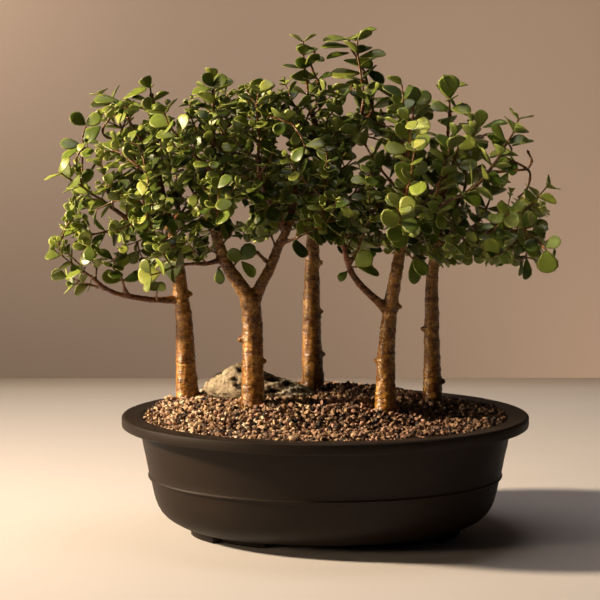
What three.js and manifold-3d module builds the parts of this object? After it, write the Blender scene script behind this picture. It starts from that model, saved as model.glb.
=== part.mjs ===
// A five-tree forest planting of dwarf jade (Portulacaria afra) in an oval moulded pot.
// Units are millimetres and +Z is up. The planting is modelled about the middle of the pot,
// standing on Z = 0, and the finished group is moved so that the middle of its whole footprint
// is the origin.
//
// The pieces: the pot, two drain screens over its holes, potting soil, a gravel top dressing,
// a rock, and for each tree its wood (trunk, limbs and spurs) and the leafy sprays that grow
// from the ends of that wood. A spray is one stem with opposite leaves, each pair turned a
// quarter from the last, as the plant grows.

import * as THREE from "three";
import { mergeVertices } from "three/addons/utils/BufferGeometryUtils.js";
import Module from "manifold-3d";

const wasm = await Module();
wasm.setup();

// ---------------------------------------------------------------- driving dimensions

const POT_LENGTH = 260;
const POT_WIDTH = 200;
const POT_HEIGHT = 77;
const HALF_LENGTH = POT_LENGTH / 2;
const OVAL_DIFFERENCE = (POT_LENGTH - POT_WIDTH) / 2; // long half axis less the short one
const OVAL_SIDES = 36;
const WALL = 2.6;
const LIP_HEIGHT = 7.4;
const LIP_REACH = 11.5; // how far the lip stands out from the wall under it
const BEAD = 1.6; // how far the bead stands out from the wall under it
const FLOOR_UNDER = 5;
const FLOOR_TOP = 8;
const FLOOR_EDGE = 88; // long half axis of the flat floor, seen from below
const FOOT_INSET = 0.4; // of the foot's outer face from the floor's edge
const FOOT_RECESS = 2.6; // how much further in the foot's middle stretch is
const FOOT_DEPTH = 13;
const FOOT_SUNK = 2.5; // how far the foot reaches up into the floor

const GAP = 0.3; // between neighbours that touch

const HOLE_RADIUS = 9;
const HOLE_SIDES = 10;
const HOLE_AT = 44; // each drain hole, along the pot from its middle
const SCREEN_SIDE = 25;
const SCREEN_THICK = 0.9;
const SCREEN_CELLS = 3;
const SCREEN_BAR = 1.7;

const SOIL_TOP = 66;
const GRAVEL_EDGE = 72; // height of the gravel where it meets the pot
const GRAVEL_CROWN = 12; // how much higher the mound is at its top
const MOUND_X = -6;
const MOUND_Y = 22;
const MOUND_LENGTH = 118;
const MOUND_WIDTH = 76;
const PEBBLE_GRID = 9;
const PEBBLE_ROW = PEBBLE_GRID * 0.87;
const PEBBLE_SHIFT = 0.3; // of each grid point, as a share of the grid
const PEBBLE_RELIEF = 3.4;
const SCRAP_ROOM = 30; // how far the cutting shapes reach past the gravel
const GRAVEL_SEED = 5100;

const ROCK_SEED = 7300;
const ROCK_AT = new THREE.Vector3(-42, 25, 86);
const ROCK_HALF = new THREE.Vector3(37, 17, 18);
const ROCK_PEAK = -0.42; // where the ridge is highest, as a share of the half length
const ROCK_LUMPS = 0.2;
const ROCK_TURN = [0, 4, -6];

const TRUNK_SIDES = 8;
const LIMB_SIDES = 5;
const TRUNK_FLARE = 1.1; // at the gravel
const TRUNK_STEP = 26; // from one ring of a trunk to the next
const LIMB_STEP = 17;
const ROOT_DEPTH = 24; // how far each trunk goes down into the soil
const ROOT_SHARE = 0.75; // of the trunk's radius, at its foot in the soil
const KNOT_SWELL = 1.4; // a knot's corners, over its radius
const SPUR_LENGTH = 4;
const SPUR_RADIUS = 1.5;
const SPUR_START = 0.3; // of the first spur in its share of the leafy length
const GOLDEN_ANGLE = 137.5;
const STEEP = 0.9; // a direction whose Z is over this counts as upright

const LEAF_LENGTH = 16.5;
const LEAF_WIDTH = 14;
const LEAF_THICK = 1.5;
const LEAF_DROOP = 0.7; // of the leaf's tip under its root
const LEAF_SPREAD = 60; // degrees between a leaf and its stem
const SPREAD_RANGE = 26;
const SWEEP_RANGE = 0.7; // how much a leaf leans to either side
const TWIST_RANGE = 0.9;
const LEAST_SIZE = 0.86;
const SIZE_RANGE = 0.28;
const TIP_SIZE = 0.78; // of the youngest pair
const NODE_PITCH = 8.6; // from one pair of leaves to the next
const FIRST_PITCH = 0.8; // the share of it below the first pair
const NODE_HEIGHT = 2; // of a leaf's root on the stem
const STEM_HALF = 1.15; // half the side of the stem's square section, at its base
const STEM_TAPER = 0.86; // from one node to the next
const STEM_RISE = 0.07; // how much a stem turns up at each node
const STEM_WANDER = 0.4; // and how much it turns any way
const LEAF_SPOT = 1.15; // radius of the spots that stand for a leaf in the clearance test
const CLEARANCE = 0.6;
const NEAR = 32; // further off than this, spots can't touch
const STEM_TRIES = 14;
const LEAF_TRIES = 8;
const LOOSER = 0.35; // how much wider each new try for a leaf may turn it
const SMALLER = 0.05;

// ---------------------------------------------------------------- wood

// Each limb is a curve through its points, from `from` to `to` in radius. A limb that leaves
// another starts on its axis. A spray of `pairs` pairs of leaves grows from the limb's end and
// one from each of its spurs, which stand along the limb past its `bare` share, turned round it
// a golden angle from one to the next, the first of them `turn` degrees round. A tree's knots
// are [share of the trunk, degrees round it, radius]: 0 is towards -X, 90 towards -Y.
const TREES = [
  {
    name: "tree_1",
    limbs: [
      {
        path: [[-90, 33, 78], [-91, 33, 104], [-92, 33, 133], [-94, 33, 150], [-96, 32, 170],
          [-101, 31, 196], [-107, 31, 222], [-109, 32, 242]],
        from: 7.4, to: 2, bare: 0.64, spurs: 2, turn: 150, pairs: 5,
      },
      {
        path: [[-94, 33, 146], [-112, 26, 147], [-122, 21, 149], [-134, 16, 152], [-143, 13, 157], [-149, 11, 163]],
        from: 2.5, to: 1.5, bare: 0.5, spurs: 2, turn: 240, pairs: 3,
      },
      {
        path: [[-97, 32, 178], [-112, 27, 190], [-126, 23, 199], [-138, 20, 208]],
        from: 2.4, to: 1.5, bare: 0.4, spurs: 1, turn: 60, pairs: 5,
      },
      {
        path: [[-103, 31, 205], [-118, 36, 226], [-126, 38, 243]],
        from: 2.1, to: 1.5, bare: 1, spurs: 0, turn: 0, pairs: 5,
      },
      {
        path: [[-97, 32, 174], [-101, 12, 183], [-106, -6, 190]],
        from: 2.3, to: 1.5, bare: 1, spurs: 0, turn: 0, pairs: 5,
      },
      {
        path: [[-100, 31, 190], [-97, 55, 202], [-98, 70, 214]],
        from: 2.2, to: 1.5, bare: 1, spurs: 0, turn: 0, pairs: 5,
      },
    ],
    knots: [[0.43, 180, 2]],
  },
  {
    name: "tree_2",
    limbs: [
      {
        path: [[-46, -10, 78], [-46, -10, 104], [-46, -10, 126], [-46.5, -10, 141], [-47, -10, 154]],
        from: 7.3, to: 6.2, bare: 1, spurs: 0, turn: 0, pairs: 0,
      },
      {
        path: [[-46, -10, 147], [-52, -11, 158], [-60, -13, 170], [-66, -14, 183], [-69, -15, 196],
          [-71, -17, 216], [-71, -18, 234], [-71, -17, 248]],
        from: 5, to: 1.8, bare: 0.42, spurs: 3, turn: 100, pairs: 5,
      },
      {
        path: [[-47, -10, 147], [-41, -9, 160], [-35, -8, 171], [-30, -8, 184], [-24, -8, 196],
          [-20, -7, 214], [-19, -5, 230]],
        from: 4.2, to: 1.8, bare: 0.4, spurs: 2, turn: 40, pairs: 5,
      },
      {
        path: [[-63, -14, 178], [-73, -18, 175], [-82, -21, 175]],
        from: 1.9, to: 1.4, bare: 1, spurs: 0, turn: 0, pairs: 4,
      },
      {
        path: [[-25, -8, 195], [-35, -17, 212], [-41, -21, 229], [-42, -22, 242]],
        from: 2, to: 1.5, bare: 1, spurs: 0, turn: 0, pairs: 5,
      },
    ],
    knots: [[0.64, 10, 2.2], [0.45, 170, 1.7]],
  },
  {
    name: "tree_3",
    limbs: [
      {
        path: [[-7, 52, 80], [-8, 52, 121], [-8, 52, 160], [-7, 51, 190], [-5, 50, 216], [-4, 49, 240],
          [-6, 48, 260], [-10, 48, 272]],
        from: 7.5, to: 1.8, bare: 0.58, spurs: 3, turn: 120, pairs: 5,
      },
      {
        path: [[-5, 50, 214], [5, 45, 232], [16, 42, 248], [23, 40, 262], [25, 39, 273]],
        from: 2.8, to: 1.5, bare: 0.4, spurs: 1, turn: 180, pairs: 5,
      },
      {
        path: [[-7, 51, 188], [-20, 62, 198], [-34, 72, 208]],
        from: 2.5, to: 1.5, bare: 0.4, spurs: 1, turn: 300, pairs: 5,
      },
      {
        path: [[-6, 51, 194], [10, 64, 205], [25, 74, 216]],
        from: 2.4, to: 1.5, bare: 0.4, spurs: 1, turn: 20, pairs: 5,
      },
    ],
    knots: [[0.46, 180, 1.8], [0.29, 175, 1.7], [0.14, 185, 1.8]],
  },
  {
    name: "tree_4",
    limbs: [
      {
        path: [[38, -14, 78], [38, -14, 114], [39, -14, 132], [41, -14, 150], [44, -14, 168], [47, -14, 186],
          [49, -15, 206], [49, -16, 226], [47, -16, 244]],
        from: 6.8, to: 1.8, bare: 0.72, spurs: 3, turn: 200, pairs: 5,
      },
      {
        path: [[39, -14, 145], [28, -18, 155], [21, -19, 162], [15, -20, 171], [12, -21, 181], [9, -22, 192]],
        from: 2.8, to: 1.6, bare: 0.55, spurs: 1, turn: 180, pairs: 4,
      },
      {
        path: [[48, -14, 192], [47, -30, 203], [48, -43, 213]],
        from: 2.3, to: 1.5, bare: 0.45, spurs: 1, turn: 90, pairs: 5,
      },
      {
        path: [[48, -14, 198], [63, -22, 207], [76, -29, 215]],
        from: 2.1, to: 1.5, bare: 0.45, spurs: 1, turn: 250, pairs: 5,
      },
    ],
    knots: [[0.21, 5, 1.8], [0.42, 170, 1.9]],
  },
  {
    name: "tree_5",
    limbs: [
      {
        path: [[71, 28, 78], [70, 28, 127], [70, 28, 162], [72, 28, 178], [74, 28, 196], [77, 28, 216],
          [79, 28, 232], [79, 28, 243]],
        from: 6.4, to: 1.8, bare: 0.64, spurs: 2, turn: 310, pairs: 5,
      },
      {
        path: [[73, 28, 184], [87, 24, 189], [102, 20, 191], [112, 17, 194], [118, 16, 198]],
        from: 2.6, to: 1.5, bare: 0.3, spurs: 2, turn: 230, pairs: 4,
      },
      {
        path: [[75, 28, 202], [91, 26, 215], [104, 24, 228]],
        from: 2.2, to: 1.5, bare: 1, spurs: 0, turn: 0, pairs: 5,
      },
      {
        path: [[74, 28, 194], [84, 46, 203], [92, 58, 213]],
        from: 2.1, to: 1.5, bare: 0.45, spurs: 1, turn: 200, pairs: 5,
      },
    ],
    knots: [[0.3, 10, 1.8], [0.09, 175, 1.9]],
  },
];

// ---------------------------------------------------------------- small tools

const UP = new THREE.Vector3(0, 0, 1);
const radians = THREE.MathUtils.degToRad;

// A repeatable number from 0 to 1 for a whole number.
function chance(n) {
  let t = (n + 0x6d2b79f5) | 0;
  t = Math.imul(t ^ (t >>> 15), t | 1);
  t ^= t + Math.imul(t ^ (t >>> 7), t | 61);
  return ((t ^ (t >>> 14)) >>> 0) / 4294967296;
}

// A closed geometry as a solid that can be joined and cut.
function solidOf(geometry) {
  const bare = geometry.clone();
  bare.deleteAttribute("normal");
  bare.deleteAttribute("uv");
  const merged = mergeVertices(bare, 1e-4);
  return new wasm.Manifold(new wasm.Mesh({
    numProp: 3,
    vertProperties: new Float32Array(merged.attributes.position.array),
    triVerts: new Uint32Array(merged.index.array),
  }));
}

// A solid back as a geometry.
function geometryOf(solid) {
  const mesh = solid.getMesh();
  const geometry = new THREE.BufferGeometry();
  geometry.setAttribute("position", new THREE.BufferAttribute(mesh.vertProperties, 3));
  geometry.setIndex(new THREE.BufferAttribute(mesh.triVerts, 1));
  geometry.computeVertexNormals();
  return geometry;
}

function geometryFrom(points, triangles) {
  const geometry = new THREE.BufferGeometry().setFromPoints(points);
  geometry.setIndex(triangles.flat());
  geometry.computeVertexNormals();
  return geometry;
}

// A direction square to `along`, and level unless `along` is upright.
function acrossOf(along) {
  const reference = Math.abs(along.z) > STEEP ? new THREE.Vector3(0, 1, 0) : UP;
  return new THREE.Vector3().crossVectors(along, reference).normalize();
}

// Rings of points as one closed surface, each end closed by a fan.
function skinOf(rings) {
  const sides = rings[0].length;
  const points = rings.flat();
  const triangles = [];
  for (let r = 0; r + 1 < rings.length; r++) {
    for (let i = 0; i < sides; i++) {
      const j = (i + 1) % sides;
      const [a, b, c, d] = [r * sides + i, r * sides + j, (r + 1) * sides + j, (r + 1) * sides + i];
      triangles.push([a, b, c], [a, c, d]);
    }
  }
  const last = (rings.length - 1) * sides;
  for (let i = 1; i + 1 < sides; i++) {
    triangles.push([0, i + 1, i], [last, last + i, last + i + 1]);
  }
  return geometryFrom(points, triangles);
}

// The short half axis of the oval whose long half axis is `long`: every ring of the pot is
// the same distance inside the next all the way round, down to a small oval at the middle.
function shortAxis(long) {
  const smallest = OVAL_DIFFERENCE * 1.5;
  return long > smallest ? long - OVAL_DIFFERENCE : long / 3;
}

// A profile of [long half axis, height] turned into an oval solid.
function ovalLathe(profile) {
  const points = profile.map(([r, z]) => new THREE.Vector2(r, z));
  const geometry = new THREE.LatheGeometry(points, OVAL_SIDES);
  geometry.rotateX(Math.PI / 2);
  const position = geometry.attributes.position;
  for (let i = 0; i < position.count; i++) {
    const long = Math.hypot(position.getX(i), position.getY(i));
    if (long > 1e-6) position.setY(i, (position.getY(i) / long) * shortAxis(long));
  }
  return geometry;
}

// ---------------------------------------------------------------- pot

// The wall's outside and inside, as [long half axis, height]. The lower half is stepped in
// under a raised bead, and the foot of the wall is rounded under.
const WALL_AT_LIP = HALF_LENGTH - LIP_REACH;
const LIP_UNDER = POT_HEIGHT - LIP_HEIGHT;
const OUTSIDE = [
  [FLOOR_EDGE, FLOOR_UNDER], [96.5, 8.4], [103, 12.6], [107.4, 18.6], [109.8, 26], [112, 36],
  [112 + BEAD, 37.4], [112 + BEAD, 39], [112.9, 40.4], [WALL_AT_LIP - 0.7, LIP_UNDER - 8], [WALL_AT_LIP, LIP_UNDER],
];
const LIP = [
  [HALF_LENGTH - 1.2, LIP_UNDER], [HALF_LENGTH, LIP_UNDER + 1.2], [HALF_LENGTH, POT_HEIGHT - 1.1],
  [HALF_LENGTH - 1.1, POT_HEIGHT], [WALL_AT_LIP - 0.6, POT_HEIGHT - 0.3],
];
const INSIDE = [
  [WALL_AT_LIP - WALL, POT_HEIGHT - 3], [112.9 - WALL, 40.4], [109.8 - WALL, 26], [101, 14], [92, FLOOR_TOP],
];

// One foot: a curved block under the floor's edge, with a deeper lobe towards the pot's end.
function footShape() {
  const foot = new THREE.Shape();
  const at = (long, degrees) => {
    const a = radians(degrees);
    return new THREE.Vector2(long * Math.cos(a), shortAxis(long) * Math.sin(a));
  };
  const outer = FLOOR_EDGE - FOOT_INSET;
  const lobe = [12, 20, 28, 36].map((degrees) => at(outer, degrees));
  const recess = [36, 45, 54, 62].map((degrees) => at(outer - FOOT_RECESS, degrees));
  const back = [62, 46, 30, 12].map((degrees) => at(outer - FOOT_DEPTH, degrees));
  foot.setFromPoints([...lobe, ...recess, ...back]);
  return foot;
}

function potSolid() {
  let pot = solidOf(ovalLathe([[0, FLOOR_UNDER], ...OUTSIDE, ...LIP, ...INSIDE, [0, FLOOR_TOP]]));
  const depth = FLOOR_UNDER + FOOT_SUNK;
  const foot = solidOf(new THREE.ExtrudeGeometry(footShape(), { depth, bevelEnabled: false }));
  for (const quarter of [[1, 1, 1], [-1, 1, 1], [-1, -1, 1], [1, -1, 1]]) pot = pot.add(foot.scale(quarter));
  for (const side of [-1, 1]) {
    const hole = new THREE.CylinderGeometry(HOLE_RADIUS, HOLE_RADIUS, FLOOR_TOP * 2, HOLE_SIDES);
    hole.rotateX(Math.PI / 2);
    hole.translate(side * HOLE_AT, 0, FLOOR_TOP);
    pot = pot.subtract(solidOf(hole));
  }
  return pot;
}

// ---------------------------------------------------------------- drain screens

// A square of plastic mesh that lies over a drain hole and keeps the soil in.
function screenSolid(side) {
  const middle = FLOOR_TOP + GAP + SCREEN_THICK / 2;
  const plate = new THREE.BoxGeometry(SCREEN_SIDE, SCREEN_SIDE, SCREEN_THICK);
  plate.translate(side * HOLE_AT, 0, middle);
  let screen = solidOf(plate);
  const pitch = (SCREEN_SIDE - SCREEN_BAR) / SCREEN_CELLS;
  for (let i = 0; i < SCREEN_CELLS; i++) {
    for (let j = 0; j < SCREEN_CELLS; j++) {
      const cell = new THREE.BoxGeometry(pitch - SCREEN_BAR, pitch - SCREEN_BAR, SCREEN_THICK * 3);
      const at = (n) => (n - (SCREEN_CELLS - 1) / 2) * pitch;
      cell.translate(side * HOLE_AT + at(i), at(j), middle);
      screen = screen.subtract(solidOf(cell));
    }
  }
  return screen;
}

// ---------------------------------------------------------------- ground

// The inside of the pot at a height, as the long half axis of what fits in it with a gap.
function insideAt(z) {
  for (let i = 0; i + 1 < INSIDE.length; i++) {
    const [[rTop, zTop], [rLow, zLow]] = [INSIDE[i], INSIDE[i + 1]];
    if (z <= zTop && z >= zLow) return rLow + ((rTop - rLow) * (z - zLow)) / (zTop - zLow) - GAP;
  }
  return INSIDE[0][0] - GAP;
}

// The gravel's height over the pot, without its pebbles: a low mound behind the middle.
function moundAt(x, y) {
  const far = ((x - MOUND_X) / MOUND_LENGTH) ** 2 + ((y - MOUND_Y) / MOUND_WIDTH) ** 2;
  const rise = Math.max(0, 1 - far);
  return GRAVEL_EDGE + GRAVEL_CROWN * rise * (2 - rise);
}

// A plain round hole for one trunk, a gap wider than the trunk all round.
function trunkHole(tree, low, high) {
  const trunk = tree.limbs[0];
  const [x, y] = trunk.path[0];
  const radius = (trunk.from * TRUNK_FLARE + GAP) / Math.cos(Math.PI / HOLE_SIDES);
  const hole = new THREE.CylinderGeometry(radius, radius, high - low, HOLE_SIDES);
  hole.rotateX(Math.PI / 2);
  hole.translate(x, y, (high + low) / 2);
  return solidOf(hole);
}

function soilSolid() {
  const low = FLOOR_TOP + GAP;
  const profile = [[0, low], [91, low], [insideAt(26), 26], [insideAt(SOIL_TOP), SOIL_TOP], [0, SOIL_TOP]];
  let soil = solidOf(ovalLathe(profile));
  for (const side of [-1, 1]) {
    const room = SCREEN_SIDE + 2 * GAP;
    const box = new THREE.BoxGeometry(room, room, 2 * (SCREEN_THICK + 2 * GAP));
    box.translate(side * HOLE_AT, 0, FLOOR_TOP + GAP);
    soil = soil.subtract(solidOf(box));
  }
  for (const tree of TREES) {
    soil = soil.subtract(trunkHole(tree, tree.limbs[0].path[0][2] - ROOT_DEPTH - GAP, POT_HEIGHT));
  }
  return soil;
}

// The gravel: a slab with a rubble of pebbles standing on it, cut to the pot's oval, in its
// largest piece.
function gravelSolid(rock) {
  const columns = Math.ceil(POT_LENGTH / PEBBLE_GRID);
  const rows = Math.ceil(POT_WIDTH / PEBBLE_ROW);
  const wide = columns + 1;
  const [top, base] = [[], []];
  for (let j = 0; j <= rows; j++) {
    for (let i = 0; i <= columns; i++) {
      const draw = (k) => chance(GRAVEL_SEED + (j * wide + i) * 3 + k) - 0.5;
      const x = (i + (j % 2) / 2 - columns / 2 + draw(0) * PEBBLE_SHIFT) * PEBBLE_GRID;
      const y = (j - rows / 2) * PEBBLE_ROW + draw(1) * PEBBLE_SHIFT * PEBBLE_GRID;
      const stone = (i + 2 * (j % 2) + j) % 3 === 0 ? 1 : 0.1;
      top.push(new THREE.Vector3(x, y, moundAt(x, y) + (stone + draw(2) * 0.8) * PEBBLE_RELIEF));
      base.push(new THREE.Vector3(x, y, SOIL_TOP - GAP));
    }
  }
  const under = top.length;
  const triangles = [];
  const quad = (a, b, c, d) => triangles.push([a, b, c], [a, c, d]);
  for (let j = 0; j < rows; j++) {
    for (let i = 0; i < columns; i++) {
      const a = j * wide + i;
      const [b, c, d] = [a + 1, a + wide + 1, a + wide];
      if (j % 2) triangles.push([a, b, c], [a, c, d]);
      else triangles.push([a, b, d], [b, c, d]);
      quad(under + a, under + d, under + c, under + b);
    }
  }
  for (let i = 0; i < columns; i++) {
    quad(i, under + i, under + i + 1, i + 1);
    const a = rows * wide + i;
    quad(a + 1, under + a + 1, under + a, a);
  }
  for (let j = 0; j < rows; j++) {
    const a = j * wide;
    quad(a + wide, under + a + wide, under + a, a);
    const b = a + columns;
    quad(b, under + b, under + b + wide, b + wide);
  }
  const slab = solidOf(geometryFrom([...top, ...base], triangles));
  const low = SOIL_TOP + GAP;
  const [shoulder, widest] = [INSIDE[0][1], insideAt(POT_HEIGHT)];
  const high = POT_HEIGHT + SCRAP_ROOM;
  const room = ovalLathe([[0, low], [insideAt(low), low], [widest, shoulder], [widest, high], [0, high]]);
  let gravel = slab.intersect(solidOf(room)).subtract(rock);
  for (const tree of TREES) gravel = gravel.subtract(trunkHole(tree, SOIL_TOP - GAP, high));
  return gravel.decompose().sort((a, b) => b.volume() - a.volume())[0];
}

// ---------------------------------------------------------------- rock

// A weathered ridge of stone, highest towards its left end, bedded in the gravel.
function rockSolid(grow) {
  const rough = new THREE.IcosahedronGeometry(1, 2);
  rough.deleteAttribute("normal");
  rough.deleteAttribute("uv");
  const rock = mergeVertices(rough, 1e-4);
  const position = rock.attributes.position;
  for (let i = 0; i < position.count; i++) {
    const p = new THREE.Vector3().fromBufferAttribute(position, i);
    const lump = 1 + (chance(ROCK_SEED + i) - 0.5) * ROCK_LUMPS;
    const peak = Math.exp(-(((p.x - ROCK_PEAK) * 2) ** 2));
    const height = p.z > 0 ? 0.55 + 0.5 * peak : 0.45;
    position.setXYZ(i, p.x * lump * ROCK_HALF.x, p.y * lump * ROCK_HALF.y, p.z * lump * height * ROCK_HALF.z);
  }
  const shape = solidOf(rock);
  const wide = ROCK_HALF.clone().addScalar(grow).divide(ROCK_HALF);
  return shape.scale(wide.toArray()).rotate(ROCK_TURN).translate(ROCK_AT.toArray());
}

// ---------------------------------------------------------------- limbs

// The curve, the radius along it and the square frame at a share of its length.
function limbAt(limb, share) {
  const point = limb.curve.getPointAt(share);
  const along = limb.curve.getTangentAt(share);
  const across = acrossOf(along);
  const over = new THREE.Vector3().crossVectors(along, across);
  const radius = limb.from + (limb.to - limb.from) * share;
  return { point, along, across, over, radius };
}

function ringAt(place, radius, sides) {
  const ring = [];
  for (let i = 0; i < sides; i++) {
    const a = (i / sides) * Math.PI * 2;
    ring.push(place.point.clone()
      .addScaledVector(place.across, radius * Math.cos(a))
      .addScaledVector(place.over, radius * Math.sin(a)));
  }
  return ring;
}

function prepareLimb(limb) {
  limb.curve = new THREE.CatmullRomCurve3(limb.path.map((p) => new THREE.Vector3(...p)), false, "centripetal");
  limb.length = limb.curve.getLength();
}

// A limb's spurs: where each starts, the way it points, between out and along, and its end.
function spursOf(limb) {
  const spurs = [];
  for (let i = 0; i < limb.spurs; i++) {
    const place = limbAt(limb, limb.bare + (1 - limb.bare) * ((i + SPUR_START) / limb.spurs));
    const turn = radians(limb.turn + i * GOLDEN_ANGLE);
    const out = place.across.clone().multiplyScalar(Math.cos(turn)).addScaledVector(place.over, Math.sin(turn));
    const along = out.multiplyScalar(0.8).addScaledVector(place.along, 0.6).normalize();
    const end = place.point.clone().addScaledVector(along, place.radius + SPUR_LENGTH);
    spurs.push({ start: place.point, along, end });
  }
  return spurs;
}

function tubeBetween(start, end, from, to, sides) {
  const along = end.clone().sub(start).normalize();
  const across = acrossOf(along);
  const over = new THREE.Vector3().crossVectors(along, across);
  return skinOf([
    ringAt({ point: start, across, over }, from, sides),
    ringAt({ point: end, across, over }, to, sides),
  ]);
}

// One tree's wood in one piece: trunk, limbs, spurs and old pruning knots.
function woodSolid(tree) {
  let wood = null;
  const join = (geometry) => {
    const piece = solidOf(geometry);
    wood = wood ? wood.add(piece) : piece;
  };
  tree.limbs.forEach((limb, n) => {
    const trunk = n === 0;
    const steps = Math.max(3, Math.round(limb.length / (trunk ? TRUNK_STEP : LIMB_STEP)));
    const rings = [];
    if (trunk) {
      const root = limbAt(limb, 0);
      root.point = root.point.clone().add(new THREE.Vector3(0, 0, -ROOT_DEPTH));
      rings.push(ringAt(root, limb.from * ROOT_SHARE, TRUNK_SIDES));
    }
    for (let i = 0; i <= steps; i++) {
      const place = limbAt(limb, i / steps);
      const flare = trunk && i === 0 ? TRUNK_FLARE : 1;
      rings.push(ringAt(place, place.radius * flare, trunk ? TRUNK_SIDES : LIMB_SIDES));
    }
    join(skinOf(rings));
    for (const { start, end } of spursOf(limb)) {
      join(tubeBetween(start, end, SPUR_RADIUS * 1.15, SPUR_RADIUS, 4));
    }
  });
  for (const [share, degrees, radius] of tree.knots) {
    const place = limbAt(tree.limbs[0], share);
    const turn = radians(degrees);
    const knot = new THREE.OctahedronGeometry(radius * KNOT_SWELL);
    const at = place.point.clone()
      .addScaledVector(place.across, place.radius * Math.cos(turn))
      .addScaledVector(place.over, place.radius * Math.sin(turn));
    knot.translate(at.x, at.y, at.z);
    join(knot);
  }
  return wood;
}

// ---------------------------------------------------------------- sprays

// The stem of a spray: its nodes from the base up, each with a square frame. The stem starts
// along the wood that it grows from, wanders a little and turns up towards the light.
function growStem(seed, base, start, pairs, attempt) {
  const nodes = [];
  const draw = (k) => chance(seed + attempt * 64 + k) - 0.5;
  let along = start.clone();
  let across = acrossOf(along).applyAxisAngle(along, draw(0) * Math.PI);
  let point = base.clone().addScaledVector(along, GAP);
  nodes.push({ point, along, across, over: new THREE.Vector3().crossVectors(along, across), half: STEM_HALF });
  for (let k = 1; k <= pairs; k++) {
    const wander = new THREE.Vector3(draw(3 * k), draw(3 * k + 1), draw(3 * k + 2));
    along = along.clone().addScaledVector(wander, STEM_WANDER * (1 + attempt * 0.2))
      .addScaledVector(UP, STEM_RISE).normalize();
    across = across.clone().addScaledVector(along, -across.dot(along)).normalize();
    point = point.clone().addScaledVector(along, NODE_PITCH * (k === 1 ? FIRST_PITCH : 1));
    const over = new THREE.Vector3().crossVectors(along, across);
    nodes.push({ point, along, across, over, half: STEM_HALF * STEM_TAPER ** k });
  }
  return nodes;
}

// Spots along a stem, from clear of its own wood on.
function stemSpots(nodes) {
  const spots = [];
  for (let k = 0; k + 1 < nodes.length; k++) {
    for (const share of k === 0 ? [0.75, 1] : [0.25, 0.5, 0.75, 1]) {
      const p = nodes[k].point.clone().lerp(nodes[k + 1].point, share);
      spots.push([p.x, p.y, p.z, nodes[k].half * 1.35]);
    }
  }
  return spots;
}

// The stem's four faces look along across, over, and back along each of them.
function faceOut(node, face) {
  const out = face % 2 ? node.over.clone() : node.across.clone();
  return face > 1 ? out.negate() : out;
}

// One leaf on a face of a node: where it starts, its long, side and upper directions, its size.
function growLeaf(seed, node, face, size, attempt) {
  const draw = (k) => chance(seed + attempt * 8 + k) - 0.5;
  const out = faceOut(node, face);
  const loose = 1 + attempt * LOOSER;
  const spread = radians(LEAF_SPREAD + draw(0) * SPREAD_RANGE * loose);
  const sweep = draw(1) * SWEEP_RANGE * loose;
  const side = new THREE.Vector3().crossVectors(node.along, out);
  const long = out.clone().multiplyScalar(Math.sin(spread))
    .addScaledVector(node.along, Math.cos(spread))
    .addScaledVector(side, sweep)
    .normalize();
  const level = side.clone().addScaledVector(long, -side.dot(long)).normalize();
  level.applyAxisAngle(long, draw(2) * TWIST_RANGE * loose);
  const upper = new THREE.Vector3().crossVectors(long, level);
  const scale = size * (LEAST_SIZE + SIZE_RANGE * (draw(3) + 0.5)) * (1 - SMALLER * attempt);
  const root = node.point.clone().addScaledVector(out, node.half);
  return { root, long, level, upper, length: LEAF_LENGTH * scale, width: LEAF_WIDTH * scale };
}

// The leaf's outline on one side, as shares of its length and width, and how far it droops:
// obovate, blunt at the tip.
const OUTLINE = [[0.32, 0.37, 0], [0.68, 0.5, 0], [0.96, 0.25, LEAF_DROOP]];

function onLeaf(leaf, a, b, c) {
  return leaf.root.clone()
    .addScaledVector(leaf.long, a * leaf.length)
    .addScaledVector(leaf.level, b * leaf.width)
    .addScaledVector(leaf.upper, c);
}

// Spots over the leaf's blade, for the clearance test.
const SPOT_ROWS = [[0.18, 0.2], [0.32, 0.36], [0.46, 0.42], [0.6, 0.46], [0.75, 0.45], [0.88, 0.36], [1, 0.2]];
const SPOT_COLUMNS = [-1, -0.5, 0, 0.5, 1];

function leafSpots(leaf) {
  const spots = [];
  for (const [a, b] of SPOT_ROWS) {
    for (const share of SPOT_COLUMNS) {
      const spot = onLeaf(leaf, a, b * share, LEAF_THICK * 0.4);
      spots.push([spot.x, spot.y, spot.z, LEAF_SPOT]);
    }
  }
  return spots;
}

// What the planting already holds, as spots with a radius, and whether new ones are clear of it.
const taken = [];

function isClear(spots, own) {
  const middle = spots[Math.floor(spots.length / 2)];
  const near = taken.filter((t) => t[4] !== own && [0, 1, 2].every((i) => Math.abs(t[i] - middle[i]) < NEAR));
  return spots.every((s) => near.every((t) => {
    const far = Math.hypot(s[0] - t[0], s[1] - t[1], s[2] - t[2]);
    return far > s[3] + t[3] + CLEARANCE;
  }));
}

function takeWood(tree) {
  for (const limb of tree.limbs) {
    const steps = Math.ceil(limb.length / 3);
    for (let i = 0; i <= steps; i++) {
      const { point, radius } = limbAt(limb, i / steps);
      taken.push([point.x, point.y, point.z, radius * 1.05, "wood"]);
    }
    for (const { start, end } of spursOf(limb)) {
      for (const share of [0.5, 1]) {
        const p = start.clone().lerp(end, share);
        taken.push([p.x, p.y, p.z, SPUR_RADIUS, "wood"]);
      }
    }
  }
}

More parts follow.
